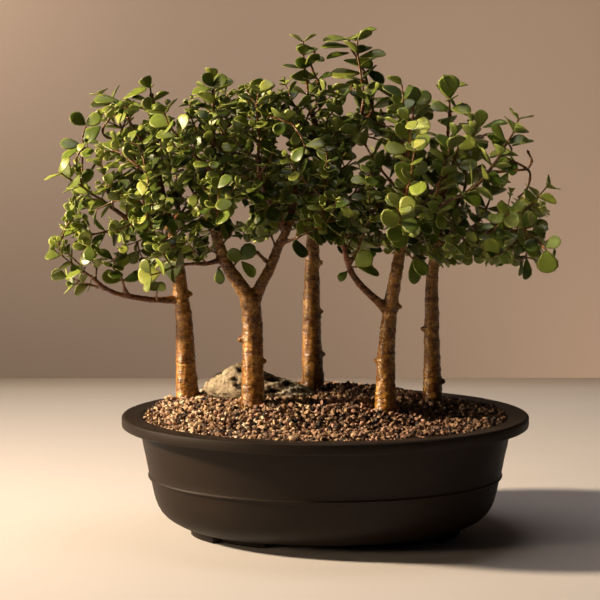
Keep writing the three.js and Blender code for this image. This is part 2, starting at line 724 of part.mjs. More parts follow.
// Every spray of the planting: each limb's end first, then its spurs. A stem that would run
// into wood or into another stem tries other ways, and is shortened if none is clear.
function growSprays() {
  const sprays = [];
  for (const tree of TREES) {
    let number = 0;
    for (const limb of tree.limbs) {
      if (limb.pairs === 0) continue;
      const tip = limbAt(limb, 1);
      for (const base of [{ end: tip.point, along: tip.along }, ...spursOf(limb)]) {
        number += 1;
        const spray = { name: tree.name + "_spray_" + String(number).padStart(2, "0"), leaves: [] };
        spray.seed = 10000 * (sprays.length + 1);
        for (let attempt = 0; attempt < STEM_TRIES; attempt++) {
          const shorter = attempt < STEM_TRIES / 2 ? 0 : 1;
          spray.nodes = growStem(spray.seed, base.end, base.along, limb.pairs - shorter, attempt);
          if (isClear(stemSpots(spray.nodes), "")) break;
        }
        taken.push(...stemSpots(spray.nodes).map((s) => [...s, "stem " + spray.name]));
        sprays.push(spray);
      }
    }
  }
  return sprays;
}

// Leaves are set pair by pair up all the sprays at once, so that no spray crowds out the next.
// A leaf that would touch something is turned and shortened, and left off if nothing helps.
function setLeaves(sprays) {
  const most = Math.max(...sprays.map((s) => s.nodes.length));
  for (let k = 1; k < most; k++) {
    for (const spray of sprays) {
      const node = spray.nodes[k];
      if (!node) continue;
      const size = k === spray.nodes.length - 1 ? TIP_SIZE : 1;
      for (const half of [0, 2]) {
        const face = (k % 2) + half;
        for (let attempt = 0; attempt < LEAF_TRIES; attempt++) {
          const leaf = growLeaf(spray.seed + 200 + k * 256 + half * 64, node, face, size, attempt);
          const spots = leafSpots(leaf);
          if (!isClear(spots, "stem " + spray.name)) continue;
          taken.push(...spots.map((s) => [...s, "leaf"]));
          spray.leaves.push({ k, face, ...leaf });
          break;
        }
      }
    }
  }
}

// A spray in one closed skin: its stem is square, and each leaf is drawn out of one of the
// stem's faces, so that stem and leaves share their edges and nothing has to be cut.
function sprayGeometry(spray) {
  const points = [];
  const triangles = [];
  const add = (p) => points.push(p) - 1;
  const quad = (a, b, c, d) => triangles.push([a, b, c], [a, c, d]);
  const corners = (node, shift) => [[1, 1], [-1, 1], [-1, -1], [1, -1]].map(([u, v]) => add(node.point.clone()
    .addScaledVector(node.along, shift)
    .addScaledVector(node.across, u * node.half)
    .addScaledVector(node.over, v * node.half)));

  const leafOn = (leaf, low, high, face) => {
    const [i, j] = [(face + 3) % 4, face];
    const side = (sign) => OUTLINE.map(([a, b, droop]) => add(onLeaf(leaf, a, sign * b, -droop)));
    const minus = side(-1);
    const plus = side(1);
    const crown = add(onLeaf(leaf, 0.55, 0, LEAF_THICK));
    const loop = [high[i], ...minus, ...[...plus].reverse(), high[j]];
    loop.forEach((p, n) => triangles.push([crown, p, loop[(n + 1) % loop.length]]));
    quad(low[j], plus[0], minus[0], low[i]);
    quad(plus[0], plus[1], minus[1], minus[0]);
    quad(plus[1], plus[2], minus[2], minus[1]);
    triangles.push([high[i], low[i], minus[0]], [low[j], high[j], plus[0]]);
  };

  let below = corners(spray.nodes[0], 0);
  quad(below[3], below[2], below[1], below[0]);
  spray.nodes.slice(1).forEach((node, n) => {
    const low = corners(node, -NODE_HEIGHT / 2);
    const high = corners(node, NODE_HEIGHT / 2);
    for (let face = 0; face < 4; face++) {
      const [i, j] = [(face + 3) % 4, face];
      quad(below[i], below[j], low[j], low[i]);
      const leaf = spray.leaves.find((l) => l.k === n + 1 && l.face === face);
      if (leaf) leafOn(leaf, low, high, face);
      else quad(low[i], low[j], high[j], high[i]);
    }
    below = high;
  });
  const last = spray.nodes[spray.nodes.length - 1];
  const bud = add(last.point.clone().addScaledVector(last.along, NODE_HEIGHT * 1.4));
  for (let face = 0; face < 4; face++) triangles.push([below[(face + 3) % 4], below[face], bud]);
  return geometryFrom(points, triangles);
}

// ---------------------------------------------------------------- the planting

const finish = (color, roughness) => new THREE.MeshStandardMaterial({ color, roughness, metalness: 0 });
const FINISHES = {
  pot: finish(0x2b2019, 0.45),
  screen: finish(0x1c1c1c, 0.6),
  soil: finish(0x3a2a1f, 0.95),
  gravel: finish(0x8a7360, 0.9),
  rock: finish(0xa3957c, 0.9),
  bark: finish(0x8a5a32, 0.65),
  leaf: finish(0x4f7a2c, 0.35),
};

const planting = new THREE.Group();
planting.name = "dwarf_jade_forest";

function place(name, geometry, material) {
  const mesh = new THREE.Mesh(geometry, material);
  mesh.name = name;
  planting.add(mesh);
}

TREES.forEach((tree) => tree.limbs.forEach(prepareLimb));
TREES.forEach(takeWood);
const sprays = growSprays();
setLeaves(sprays);

place("pot", geometryOf(potSolid()), FINISHES.pot);
place("drain_screen_left", geometryOf(screenSolid(-1)), FINISHES.screen);
place("drain_screen_right", geometryOf(screenSolid(1)), FINISHES.screen);
place("potting_soil", geometryOf(soilSolid()), FINISHES.soil);
place("gravel", geometryOf(gravelSolid(rockSolid(GAP * 1.6))), FINISHES.gravel);
place("rock", geometryOf(rockSolid(0)), FINISHES.rock);
for (const tree of TREES) place(tree.name + "_wood", geometryOf(woodSolid(tree)), FINISHES.bark);
for (const spray of sprays) place(spray.name, sprayGeometry(spray), FINISHES.leaf);

const footprint = new THREE.Box3().setFromObject(planting).getCenter(new THREE.Vector3());
planting.position.set(-footprint.x, -footprint.y, 0);

export default planting;
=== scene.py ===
"""A forest planting of five dwarf jades (Portulacaria afra) in an oval moulded pot.

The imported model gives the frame. The pot, the gravel, the rock, the wood and the leafy
sprays are made again here in finer form, each where its solid stands. The soil and the two
drain screens keep their solids and get a finish. Sizes are in millimetres about the middle
of the pot, until a piece is made, and every mesh is in metres in the shared frame.
"""

import functools
import itertools
import math

import bmesh
import bpy
import numpy as np
from mathutils import Matrix, Vector, noise


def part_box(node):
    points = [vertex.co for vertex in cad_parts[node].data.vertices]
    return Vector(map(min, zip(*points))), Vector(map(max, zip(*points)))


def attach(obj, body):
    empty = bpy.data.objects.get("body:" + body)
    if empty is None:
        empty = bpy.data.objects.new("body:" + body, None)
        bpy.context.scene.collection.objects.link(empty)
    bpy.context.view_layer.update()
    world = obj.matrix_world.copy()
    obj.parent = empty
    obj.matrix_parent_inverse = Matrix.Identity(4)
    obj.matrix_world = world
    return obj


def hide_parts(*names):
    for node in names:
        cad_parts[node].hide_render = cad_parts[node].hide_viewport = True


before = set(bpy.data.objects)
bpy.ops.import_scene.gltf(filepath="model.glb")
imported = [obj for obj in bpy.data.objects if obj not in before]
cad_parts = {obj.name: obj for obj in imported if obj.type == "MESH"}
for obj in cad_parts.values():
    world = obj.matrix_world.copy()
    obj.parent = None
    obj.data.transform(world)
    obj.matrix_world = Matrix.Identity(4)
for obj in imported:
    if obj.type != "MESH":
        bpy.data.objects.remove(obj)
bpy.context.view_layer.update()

MM = 0.001
pot_low, pot_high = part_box("pot")
MIDDLE = Vector(((pot_low.x + pot_high.x) / 2, (pot_low.y + pot_high.y) / 2, 0))

# ---------------------------------------------------------------- sizes of the planting

POT_SIDES = 144
HOLE_SIDES = 32
OVAL_DIFFERENCE = 30  # long half axis of the pot less the short one
# The wall as [long half axis, height]: up the outside over the bead, round the lip, and down
# the inside to the floor.
POT_PROFILE = [
    (88, 5), (92.6, 6.1), (96.5, 8.2), (100.2, 10.4), (103, 12.7), (105.6, 15.6), (107.4, 18.7),
    (108.8, 22.2), (109.8, 26), (110.9, 31), (111.8, 35.6), (112.1, 36.5), (112.7, 36.8), (113.3, 37.1),
    (113.6, 37.6), (113.6, 38.1), (113.3, 38.5), (113.0, 38.8), (112.9, 39.4), (113.8, 44), (115.1, 51),
    (116.4, 57), (117.4, 62), (118.0, 65.8), (118.3, 68.4), (118.9, 69.3), (120, 69.6), (127.6, 69.6),
    (129.0, 69.8), (129.7, 70.3), (130, 71.2), (130, 75.2), (129.8, 76.1), (129.2, 76.7), (128.2, 77),
    (127.2, 76.8), (119.8, 76.6), (118.3, 76.4), (117.2, 75.9), (116.4, 75.1), (115.9, 74), (115.2, 70),
    (113.5, 60), (111.8, 49), (110.3, 40.4), (108.6, 32), (107.2, 26), (104.9, 19), (101, 14), (97, 10.6),
    (92, 8),
]
HOLE_AT = 44
HOLE_RADIUS = 9
PUNCH_LENGTH = 30
FOOT_TOP = 6.6
FOOT_ROUND = 0.9
FOOT_FROM, FOOT_STEP, FOOT_TO = 12, 36, 62  # degrees round the pot
FOOT_OUTER = 87.6
FOOT_RECESS = 6
FOOT_DEPTH = 13

GRAVEL_EDGE = 74
GRAVEL_CROWN = 10
MOUND = (-16, 22, 100, 74)  # its middle along and across the pot, and its half sizes
GRAVEL_REACH = 115.2  # long half axis of the gravel at the inner wall
BED_SIDES = 96
BED_UNDER, BED_HEIGHT = 66.4, 3
BED_LAPS, LAP_WIDTH = 9, 7.5  # the rings of faces in the bed's top
GRIT_KINDS = 8
GRIT_PITCH = 2.48
ROW_SHARE = 0.87  # how far apart the rows of grains are, as a share of the pitch in a row
GRIT_SIZE = 3.19
GRIT_SHAKE = 0.8
GRIT_FLOAT, FLOAT_RANGE = 0.4, 1.7  # how high over the mound a grain's middle is
GRAIN_SHARE = (0.6, 0.75)  # of the grit's size: the least, and what chance adds
GRAIN_WIDTH, GRAIN_THICK = (0.62, 0.38), (0.55, 0.4)  # the same, of a grain's length
SMALLER_MORE_OFTEN = 1.3  # the power that makes small grains more frequent
# the bed's grit tone, near-black, as painted shade in the gaps between the grains
BED_SHADE_TONE = 0.04
TRUNK_SPARE = 1.3
SECOND_LAYER = 0.34  # the share of the grains that lie on top of others
LAYER_RISE = 1.9
# The grit is painted darker to the right, as painted shade of the crown: from where, over what way, how much.
PAINTED_SHADE_FROM, PAINTED_SHADE_WAY, PAINTED_SHADE_DEPTH = -45, 135, 0.42

ROCK_AT = (-42, 25, 86)
ROCK_HALF = (37, 17, 18)
ROCK_TILT, ROCK_TURN = 4, -6
ROCK_PEAK = -0.42
# Where the rock has weathered out: the middle of each hollow, its half sizes and its depth.
ROCK_HOLLOWS = [
    ((-54, 15, 103), (3.4, 6, 2.2), 3.2), ((-58.5, 11, 97.5), (2.4, 5, 3.4), 2.6),
    ((-55.5, 9, 92.4), (4.2, 5, 2), 2.6), ((-31.5, 18, 96.5), (6, 9, 1.7), 2.4),
    ((-22, 17, 93.5), (5, 8, 1.4), 1.8), ((-34, 11, 89.5), (4.6, 5, 1.3), 2),
    ((-13.5, 9, 82.6), (5, 5, 1.8), 2), ((-48, 34, 97), (7, 4, 1.8), 2.4), ((-28, 36, 90), (6, 4, 2.4), 2.2),
]

ROOT_DEPTH = 24
BURIED_BELOW = 70
TRUNK_FLARE, FLARE_HEIGHT = 1.1, 14
LIMB_FLARE, LIMB_FLARE_LENGTH = 0.4, 7
WOOD_STEP = 1.2
WOOD_GRAIN = 0.88  # how fine the skin over limbs and knots is
SPUR_LENGTH = 4
SPUR_RADIUS = 1.5
SPUR_START = 0.3
GOLDEN_ANGLE = 137.5
GAP = 0.3

LEAF_LENGTH = 16.5
LEAF_WIDTH = 14
LEAF_THICK = 1.5
LEAF_SPREAD = 60
SPREAD_RANGE = 26
SWEEP_RANGE = 0.7
TWIST_RANGE = 0.9
LEAST_SIZE = 0.86
SIZE_RANGE = 0.28
TIP_SIZE = 0.78
NODE_PITCH = 8.6
FIRST_PITCH = 0.8
STEM_HALF = 1.15
STEM_TAPER = 0.86
STEM_RISE = 0.07
STEM_WANDER = 0.4
STEM_SWELL = 1.35
LEAF_SPOT = 1.15
SMALL_SPOT = 0.85
CLEARANCE = 0.6
# How often a stem or a leaf is tried, and what each new try adds: how much more a stem
# wanders, how much looser a leaf sits, and how much smaller it is.
STEM_TRIES, STEM_LOOSER = 14, 0.2
LEAF_TRIES, LEAF_LOOSER, LEAF_SMALLER = 8, 0.35, 0.05
SHOOT_TRIES, SHOOT_LOOSER, SHOOT_SMALLER = 5, 0.4, 0.07

# Each tree's limbs, the trunk first: the radius where the limb starts and where it ends, the
# share of it that is bare, how many spurs it has, how far round the first spur is, the pairs
# of leaves on each spray, and its path. Then its knots: the share of the trunk, the degrees
# round it and the radius.
TREES = {
    "tree_1": ([
        (7.4, 2, 0.64, 2, 150, 5, [(-90, 33, 78), (-91, 33, 104), (-92, 33, 133), (-94, 33, 150),
            (-96, 32, 170), (-101, 31, 196), (-107, 31, 222), (-109, 32, 242)]),
        (2.5, 1.5, 0.5, 2, 240, 3, [(-94, 33, 146), (-112, 26, 147), (-122, 21, 149), (-134, 16, 152),
            (-143, 13, 157), (-149, 11, 163)]),
        (2.4, 1.5, 0.4, 1, 60, 5, [(-97, 32, 178), (-112, 27, 190), (-126, 23, 199), (-138, 20, 208)]),
        (2.1, 1.5, 1, 0, 0, 5, [(-103, 31, 205), (-118, 36, 226), (-126, 38, 243)]),
        (2.3, 1.5, 1, 0, 0, 5, [(-97, 32, 174), (-101, 12, 183), (-106, -6, 190)]),
        (2.2, 1.5, 1, 0, 0, 5, [(-100, 31, 190), (-97, 55, 202), (-98, 70, 214)]),
    ], [(0.43, 180, 2)]),
    "tree_2": ([
        (7.3, 6.2, 1, 0, 0, 0, [(-46, -10, 78), (-46, -10, 104), (-46, -10, 126), (-46.5, -10, 141),
            (-47, -10, 154)]),
        (5, 1.8, 0.42, 3, 100, 5, [(-46, -10, 147), (-52, -11, 158), (-60, -13, 170), (-66, -14, 183),
            (-69, -15, 196), (-71, -17, 216), (-71, -18, 234), (-71, -17, 248)]),
        (4.2, 1.8, 0.4, 2, 40, 5, [(-47, -10, 147), (-41, -9, 160), (-35, -8, 171), (-30, -8, 184),
            (-24, -8, 196), (-20, -7, 214), (-19, -5, 230)]),
        (1.9, 1.4, 1, 0, 0, 4, [(-63, -14, 178), (-73, -18, 175), (-82, -21, 175)]),
        (2, 1.5, 1, 0, 0, 5, [(-25, -8, 195), (-35, -17, 212), (-41, -21, 229), (-42, -22, 242)]),
    ], [(0.64, 10, 2.2), (0.45, 170, 1.7)]),
    "tree_3": ([
        (7.5, 1.8, 0.58, 3, 120, 5, [(-7, 52, 80), (-8, 52, 121), (-8, 52, 160), (-7, 51, 190), (-5, 50, 216),
            (-4, 49, 240), (-6, 48, 260), (-10, 48, 272)]),
        (2.8, 1.5, 0.4, 1, 180, 5, [(-5, 50, 214), (5, 45, 232), (16, 42, 248), (23, 40, 262),
            (25, 39, 273)]),
        (2.5, 1.5, 0.4, 1, 300, 5, [(-7, 51, 188), (-20, 62, 198), (-34, 72, 208)]),
        (2.4, 1.5, 0.4, 1, 20, 5, [(-6, 51, 194), (10, 64, 205), (25, 74, 216)]),
    ], [(0.46, 180, 1.8), (0.29, 175, 1.7), (0.14, 185, 1.8)]),
    "tree_4": ([
        (6.8, 1.8, 0.72, 3, 200, 5, [(38, -14, 78), (38, -14, 114), (39, -14, 132), (41, -14, 150),
            (44, -14, 168), (47, -14, 186), (49, -15, 206), (49, -16, 226), (47, -16, 244)]),
        (2.8, 1.6, 0.55, 1, 180, 4, [(39, -14, 145), (28, -18, 155), (21, -19, 162), (15, -20, 171),
            (12, -21, 181), (9, -22, 192)]),
        (2.3, 1.5, 0.45, 1, 90, 5, [(48, -14, 192), (47, -30, 203), (48, -43, 213)]),
        (2.1, 1.5, 0.45, 1, 250, 5, [(48, -14, 198), (63, -22, 207), (76, -29, 215)]),
    ], [(0.21, 5, 1.8), (0.42, 170, 1.9)]),
    "tree_5": ([
        (6.4, 1.8, 0.64, 2, 310, 5, [(71, 28, 78), (70, 28, 127), (70, 28, 162), (72, 28, 178), (74, 28, 196),
            (77, 28, 216), (79, 28, 232), (79, 28, 243)]),
        (2.6, 1.5, 0.3, 2, 230, 4, [(73, 28, 184), (87, 24, 189), (102, 20, 191), (112, 17, 194),
            (118, 16, 198)]),
        (2.2, 1.5, 1, 0, 0, 5, [(75, 28, 202), (91, 26, 215), (104, 24, 228)]),
        (2.1, 1.5, 0.45, 1, 200, 5, [(74, 28, 194), (84, 46, 203), (92, 58, 213)]),
    ], [(0.3, 10, 1.8), (0.09, 175, 1.9)]),
}

# The crown seen from the front, as [along the pot, height] in the plane of the pot's middle:
# its upper and its lower outline, and the windows that stay open in it.
CROWN_TOP = [
    (-176, 189), (-169, 196), (-163, 206), (-160, 246), (-154, 254), (-146, 268), (-134, 275), (-124, 279),
    (-111, 279), (-106, 275), (-98, 273), (-88, 275), (-80, 280), (-72, 283), (-64, 281), (-56, 284),
    (-48, 291), (-40, 290), (-31, 286), (-22, 290), (-16, 294), (-5, 290), (3, 286), (15, 287), (30, 288),
    (37, 286), (45, 281), (54, 278), (62, 275), (69, 276), (75, 277), (83, 275), (92, 270), (99, 262),
    (103, 246), (105, 219), (112, 219), (123, 216), (136, 214), (142, 211), (149, 206),
]
CROWN_LOW = [
    (-176, 186), (-171, 174), (-165, 161), (-153, 155), (-143, 164), (-131, 168), (-118, 166), (-105, 170),
    (-92, 174), (-76, 174), (-64, 182), (-51, 188), (-40, 185), (-29, 189), (-16, 189), (-2, 189), (8, 183),
    (17, 174), (27, 170), (34, 180), (47, 178), (57, 174), (67, 174), (79, 171), (92, 171), (104, 171),
    (117, 169), (126, 162), (134, 164), (141, 168), (149, 178),
]
WINDOWS = [
    (81, 257, 5.2), (-26, 248, 4), (15, 236, 4.6), (-54, 204, 4.4), (14, 273, 4), (-138, 188, 5.6),
    (76, 264, 4.4), (55, 252, 4.6), (75, 246, 3.6), (91, 232, 3.2), (97, 213, 4.6), (-115, 264, 3),
    (-93, 267, 3), (25, 245, 5), (34, 275, 4), (67, 222, 2.6), (-14, 279, 4.6), (-147, 228, 4.6),
    (-132, 205, 4), (100, 242, 3), (98, 213, 7), (104, 205, 4.5), (90, 222, 3.6), (64, 259, 4), (30, 245, 4),
    (38, 229, 3.4), (110, 222, 5),
]
CROWN_DEPTH = 78  # half the crown's depth in its middle
CROWN_MIDDLE = np.array([-8.0, 18.0, 215.0])
CROWN_HALF = np.array([172.0, 82.0, 108.0])
CROWN_ENDS = (-178, 148)
WINDOW_RIM = 2.5
# Where the crown is less deep. Low at the left: left of and below this, only from y to y.
LOW_LEFT = (-118, 190, -46, 26)
# High at the front right: right of and in front of this, only up to a height that falls by
# this slope towards this end.
FRONT_RIGHT = (-20, -6, 192, 130, 0.45)
# Low at the back left: left of and behind this, only above this height.
BACK_LEFT = (-60, 40, 228)
# The low right branch: its leaves look younger, as new growth and painted light, right of
# this, over this way, between these heights (each with the way over which it fades), and
# older below the last, as painted shade.
BRANCH_FROM, BRANCH_WAY = 95, 30
BRANCH_LIT_LOW, BRANCH_LIT_HIGH = (194, 10), (235, 20)
BRANCH_SHADE_UNDER = 192

# Twigs that give the crown its own look: the tree, the radius from and to, the path, and the
# leaves as (root, tip, the way the upper side looks, width as a share of length).
POSED = [
    ("tree_1", 1.3, 0.8, [(-118, 31, 250), (-124, 30, 259), (-129, 30, 268), (-131, 30, 275)], [
        ((-132, 30, 275), (-148, 26, 275), (0, -0.5, 1), 0.8),
        ((-130, 30, 276), (-115, 27, 284), (0, -0.4, 1), 0.8),
    ]),
    ("tree_1", 1, 0.7, [(-140, 27, 252), (-143, 27, 257), (-138, 27, 265), (-132, 29, 272)], [
        ((-144, 27, 259), (-155, 24, 250), (-0.5, -1, 0.4), 0.8),
    ]),
    ("tree_1", 1, 0.7, [(-145, 20, 240), (-150, 20, 244), (-155, 20, 246)], [
        ((-156, 20, 247), (-169, 16, 248), (-0.2, -0.8, 0.9), 0.85),
        ((-156, 20, 246), (-168, 17, 237), (-0.4, -0.6, 1), 0.6),
    ]),
    ("tree_1", 0.8, 0.6, [(-155, 20, 246), (-155, 20, 253), (-153, 20, 259)], [
        ((-153, 20, 260), (-162, 17, 267), (-0.3, -0.8, 0.5), 0.8),
        ((-153, 20, 260), (-143, 18, 266), (0.3, -0.8, 0.5), 0.8),
    ]),
    ("tree_1", 1.5, 1.35, [(-109, 34, 262), (-110, 34, 271), (-112, 34, 279.5)], []),
    ("tree_1", 0.8, 0.6, [(-109, 27, 146), (-109, 20, 150), (-108, 16, 153)], [
        ((-108, 16, 154), (-112, 12, 160), (0, -1, 0.2), 0.9),
        ((-108, 16, 154), (-103, 13, 159), (0, -1, 0.2), 0.9),
    ]),
    ("tree_2", 1.5, 0.7, [(-70, -17, 250), (-69, -17, 262), (-70, -17, 273), (-70, -17, 282)], [
        ((-70, -17, 283), (-57, -19, 287), (0.2, -0.5, 1), 0.75),
        ((-70, -17, 283), (-83, -19, 281), (0, -0.5, 1), 0.75),
        ((-70, -17, 284), (-76, -19, 292), (0, -0.8, 0.6), 0.85),
        ((-70, -17, 283), (-62, -20, 291), (0, -0.8, 0.6), 0.85),
        ((-70, -17, 271), (-81, -18, 273), (0, -0.4, 1), 0.75),
        ((-69, -17, 271), (-60, -19, 272), (0, -0.4, 1), 0.75),
    ]),
    ("tree_2", 0.8, 0.6, [(-60, -13, 170), (-57, -14, 174), (-54, -15, 177)], [
        ((-54, -15, 177), (-45, -18, 186), (0.2, -1, 0.1), 0.8),
        ((-53, -15, 176), (-45, -17, 166), (0.6, -1, 0.1), 0.6),
        ((-56, -14, 175), (-58, -22, 184), (-0.1, -1, 0.3), 0.8),
    ]),
    ("tree_2", 1.5, 1.3, [(-34, -8, 172), (-38, -9, 176), (-43, -10, 181)], []),
    ("tree_2", 0.8, 0.6, [(-62, -13, 174), (-65, -14, 173), (-67, -15, 172)], [
        ((-67, -15, 172), (-66, -18, 162), (-0.3, -1, 0), 0.7),
    ]),
    ("tree_3", 2, 0.7, [(24, 40, 262), (31, 45, 268), (29, 46, 281), (26, 46, 293), (22, 46, 302),
        (18, 46, 308), (16, 46, 314)], [
        ((17, 46, 315), (34, 44, 321.5), (0, -0.3, 1), 0.6),
        ((16, 46, 315), (-1, 44, 315.5), (0, -0.4, 1), 0.7),
        ((18, 46, 310), (-2.5, 44, 309.4), (0, -0.3, 1), 0.6),
        ((16.5, 46, 306), (1, 44, 304), (0, -0.4, 1), 0.6),
        ((18, 46, 309), (27, 43, 309.4), (0, -0.6, 1), 0.8),
        ((22, 46, 303), (40, 44, 305), (0, -0.5, 1), 0.7),
        ((27, 46, 295), (39, 44, 287.5), (0.5, -1, 0.4), 0.6),
        ((24, 46, 293), (4, 43, 292), (0, -0.5, 1), 0.8), ((20, 46, 302), (31, 41, 298), (0.3, -1, 0.5), 0.7),
        ((28, 46, 288), (16, 41, 284), (0, -0.8, 1), 0.8),
    ]),
    ("tree_3", 1.1, 0.7, [(-2, 46, 279), (-4, 46, 287), (-8, 46, 296), (-9, 46, 302), (-6.5, 46, 307)], [
        ((-6, 46, 308), (-18, 43, 311.5), (0, -0.4, 1), 0.7),
        ((-9, 46, 301), (0, 43, 301), (0, -0.5, 1), 0.8),
        ((-9, 46, 298), (-19, 43, 301), (-0.2, -1, 0.5), 0.8),
        ((-5, 46, 290), (-16, 43, 291), (0, -0.7, 1), 0.8),
        ((-4, 46, 289), (5, 43, 292), (0.1, -0.6, 1), 0.7),
    ]),
    ("tree_4", 0.8, 0.6, [(15, -20, 171), (17, -21, 173), (18.5, -22, 173)], [
        ((18, -22, 174), (28, -26, 182), (0.1, -1, 0.2), 0.9),
        ((19, -22, 173), (33, -25, 169), (0.5, -0.8, 0.8), 0.5),
    ]),
    ("tree_4", 0.8, 0.6, [(15, -20, 171), (13, -21, 170)], [
        ((13, -21, 170), (8, -24, 165), (-0.5, -1, 0.2), 0.8),
    ]),
    ("tree_4", 0.8, 0.6, [(47, -14, 186), (51, -16, 181), (54, -18, 178)], [
        ((54, -18, 178), (55, -20, 162), (0.8, -1, 0), 0.7),
        ((54, -18, 178), (62, -22, 168), (0.4, -1, 0), 0.7),
    ]),
    ("tree_5", 1.2, 0.7, [(79, 28, 243), (79, 24, 256), (80, 21, 266), (79, 20, 277)], [
        ((79, 20, 278), (78, 16, 292), (0, -1, 0.2), 1.0),
        ((80, 20, 270), (93, 17, 270), (0, -0.7, 0.8), 0.85),
        ((80, 20, 270), (67, 17, 271), (0, -0.7, 0.8), 0.85),
        ((79, 21, 277), (79, 27, 288), (0, 1, 0.4), 0.9),
    ]),
    ("tree_5", 1.2, 0.6, [(88, 27, 240), (97, 26, 250), (104, 26, 254), (109, 26, 254), (116, 26, 250),
        (120, 26, 245), (120, 26, 240)], [
        ((120, 26, 246), (134, 24, 251), (0, -0.3, 1), 0.5),
        ((117, 26, 243), (106, 22, 239), (0, -0.5, 1), 0.6),
        ((120, 26, 240), (121, 22, 228), (0.2, -1, 0), 0.6),
        ((104, 26, 254), (112, 22, 250), (0.2, -1, 0.4), 0.8),
        ((101, 25, 258), (117, 22, 261), (0, -0.4, 1), 0.6),
        ((100, 25, 259), (99, 20, 270), (0, -1, 0.4), 0.8),
        ((97, 26, 250), (104, 22, 246), (0.3, -1, 0.2), 0.8),
    ]),
    ("tree_5", 1.2, 0.9, [(98, 24, 231), (110, 24, 230), (122, 24, 231), (130, 24, 232), (133, 24, 237),
        (130.5, 24, 243)], [
        ((118, 23, 230), (112, 20, 220), (-0.3, -1, 0), 0.5),
        ((103, 23, 229), (102, 20, 215), (0.6, -1, 0), 0.5),
        ((112, 24, 232), (116, 19, 240), (0, -1, 0.3), 0.7),
    ]),
    ("tree_5", 1.0, 0.8, [(130, 24, 232), (132, 24, 225), (129.5, 24, 218), (125, 23, 214)], []),
    ("tree_5", 1.2, 0.7, [(116, 17, 197), (126, 2, 194), (132, -14, 189), (136, -24, 184)], [
        ((136, -25, 184), (137, -29, 170), (0.1, -1, 0.1), 1.0),
        ((136, -24, 185), (144, -28, 191), (0, -0.8, 0.6), 0.85),
        ((131, -12, 190), (126, -20, 183), (0, -0.9, 0.5), 0.85),
        ((131, -12, 191), (139, -10, 197), (-0.2, -0.6, 0.9), 0.85),
    ]),
    ("tree_5", 0.8, 0.6, [(126, 2, 194), (127, 0, 184), (127, -1, 177)], [
        ((127, -1, 177), (126, -3, 163), (0.7, -1, 0), 0.6),
        ((127, 0, 184), (134, -4, 178), (0, -1, 0.3), 0.8),
    ]),
    ("tree_5", 1.3, 0.7, [(102, 20, 191), (104, 0, 196), (108, -20, 202), (112, -30, 207)], [
        ((112, -31, 208), (121, -35, 213), (-0.3, -0.8, 0.9), 0.85),
        ((112, -31, 208), (104, -36, 212), (-0.5, -0.8, 0.6), 0.85),
        ((109, -24, 205), (101, -32, 201), (-0.5, -1, 0.3), 0.85),
        ((109, -24, 205), (118, -32, 200), (-0.2, -1, 0.5), 0.85),
        ((105, -8, 199), (97, -14, 205), (-0.6, -0.5, 0.8), 0.8),
        ((105, -6, 198), (112, -8, 205), (-0.2, -0.5, 1), 0.8),
    ]),
    ("tree_4", 1.2, 0.7, [(49, -15, 240), (52, -6, 255), (55, 4, 265), (55, 8, 272)], [
        ((55, 9, 273), (66, 6, 280), (0.1, -1, 0.5), 0.85),
        ((54, 9, 273), (42, 6, 279), (-0.1, -1, 0.5), 0.85), ((55, 8, 273), (55, 2, 284), (0, -1, 0.4), 0.85),
    ]),
]

TABLE_BACK = 0.605
CAMERA_AT = (-20, -1100, 280)
CAMERA_PITCH = 6.75
CAMERA_YAW = 0.2
LENS = 104.6

# ---------------------------------------------------------------- small tools

MASK = 0xFFFFFFFF
TURN = 6.283  # a whole turn, in radians
UP = np.array([0.0, 0.0, 1.0])


def chance(number):
    """A repeatable number from 0 to 1 for a whole number."""
    t = (int(number) + 0x6D2B79F5) & MASK
    t = ((t ^ (t >> 15)) * (t | 1)) & MASK
    t ^= (t + (((t ^ (t >> 7)) * (t | 61)) & MASK)) & MASK
    return ((t ^ (t >> 14)) & MASK) / (MASK + 1)


def swing(number):
    """A repeatable number from -0.5 to 0.5 for a whole number."""
    return chance(number) - 0.5


def swings(number, count):
    return np.array([swing(number + i) for i in range(count)])


def some(least, more, number):
    """A repeatable size: the least, and up to so much more."""
    return least + more * chance(number)


def one_of(count, number):
    """A repeatable choice: a whole number from 0, under count."""
    return int(chance(number) * (count - 0.001))


def unit(v):
    return v / np.linalg.norm(v)


def turned(v, axis, angle):
    """A direction turned about an axis, in radians."""
    c, s = math.cos(angle), math.sin(angle)
    return v * c + np.cross(axis, v) * s + axis * (axis @ v) * (1 - c)


def across_of(along):
    """A direction square to along, and level unless along is upright."""
    reference = np.array([0.0, 1.0, 0.0]) if abs(along[2]) > 0.9 else UP
    return unit(np.cross(along, reference))


def between(start, end, share):
    return start * (1 - share) + end * share


def around(across, over, turn):
    """A direction so far round a stem, in radians."""
    return across * math.cos(turn) + over * math.sin(turn)


def placed(points):
    """Points in millimetres about the pot's middle, in metres in the shared frame."""
    return np.asarray(points, float) * MM + np.array(MIDDLE)


def short_axis(long):
    """The short half axis of the pot's oval, for a long one."""
    smallest = OVAL_DIFFERENCE * 1.5
    return long - OVAL_DIFFERENCE if long > smallest else long / 3


def colour(hexa):
    """An sRGB hex colour as the linear colour that a shader takes."""
    parts = [int(hexa[i : i + 2], 16) / 255 for i in (1, 3, 5)]
    return [p / 12.92 if p <= 0.04045 else ((p + 0.055) / 1.055) ** 2.4 for p in parts] + [1.0]


# ---------------------------------------------------------------- finishes


def finish(name):
    """An empty finish, and the function that adds a node to it."""
    made = bpy.data.materials.new(name)
    made.use_nodes = True
    made.node_tree.nodes.clear()
    return made, functools.partial(add_node, made)


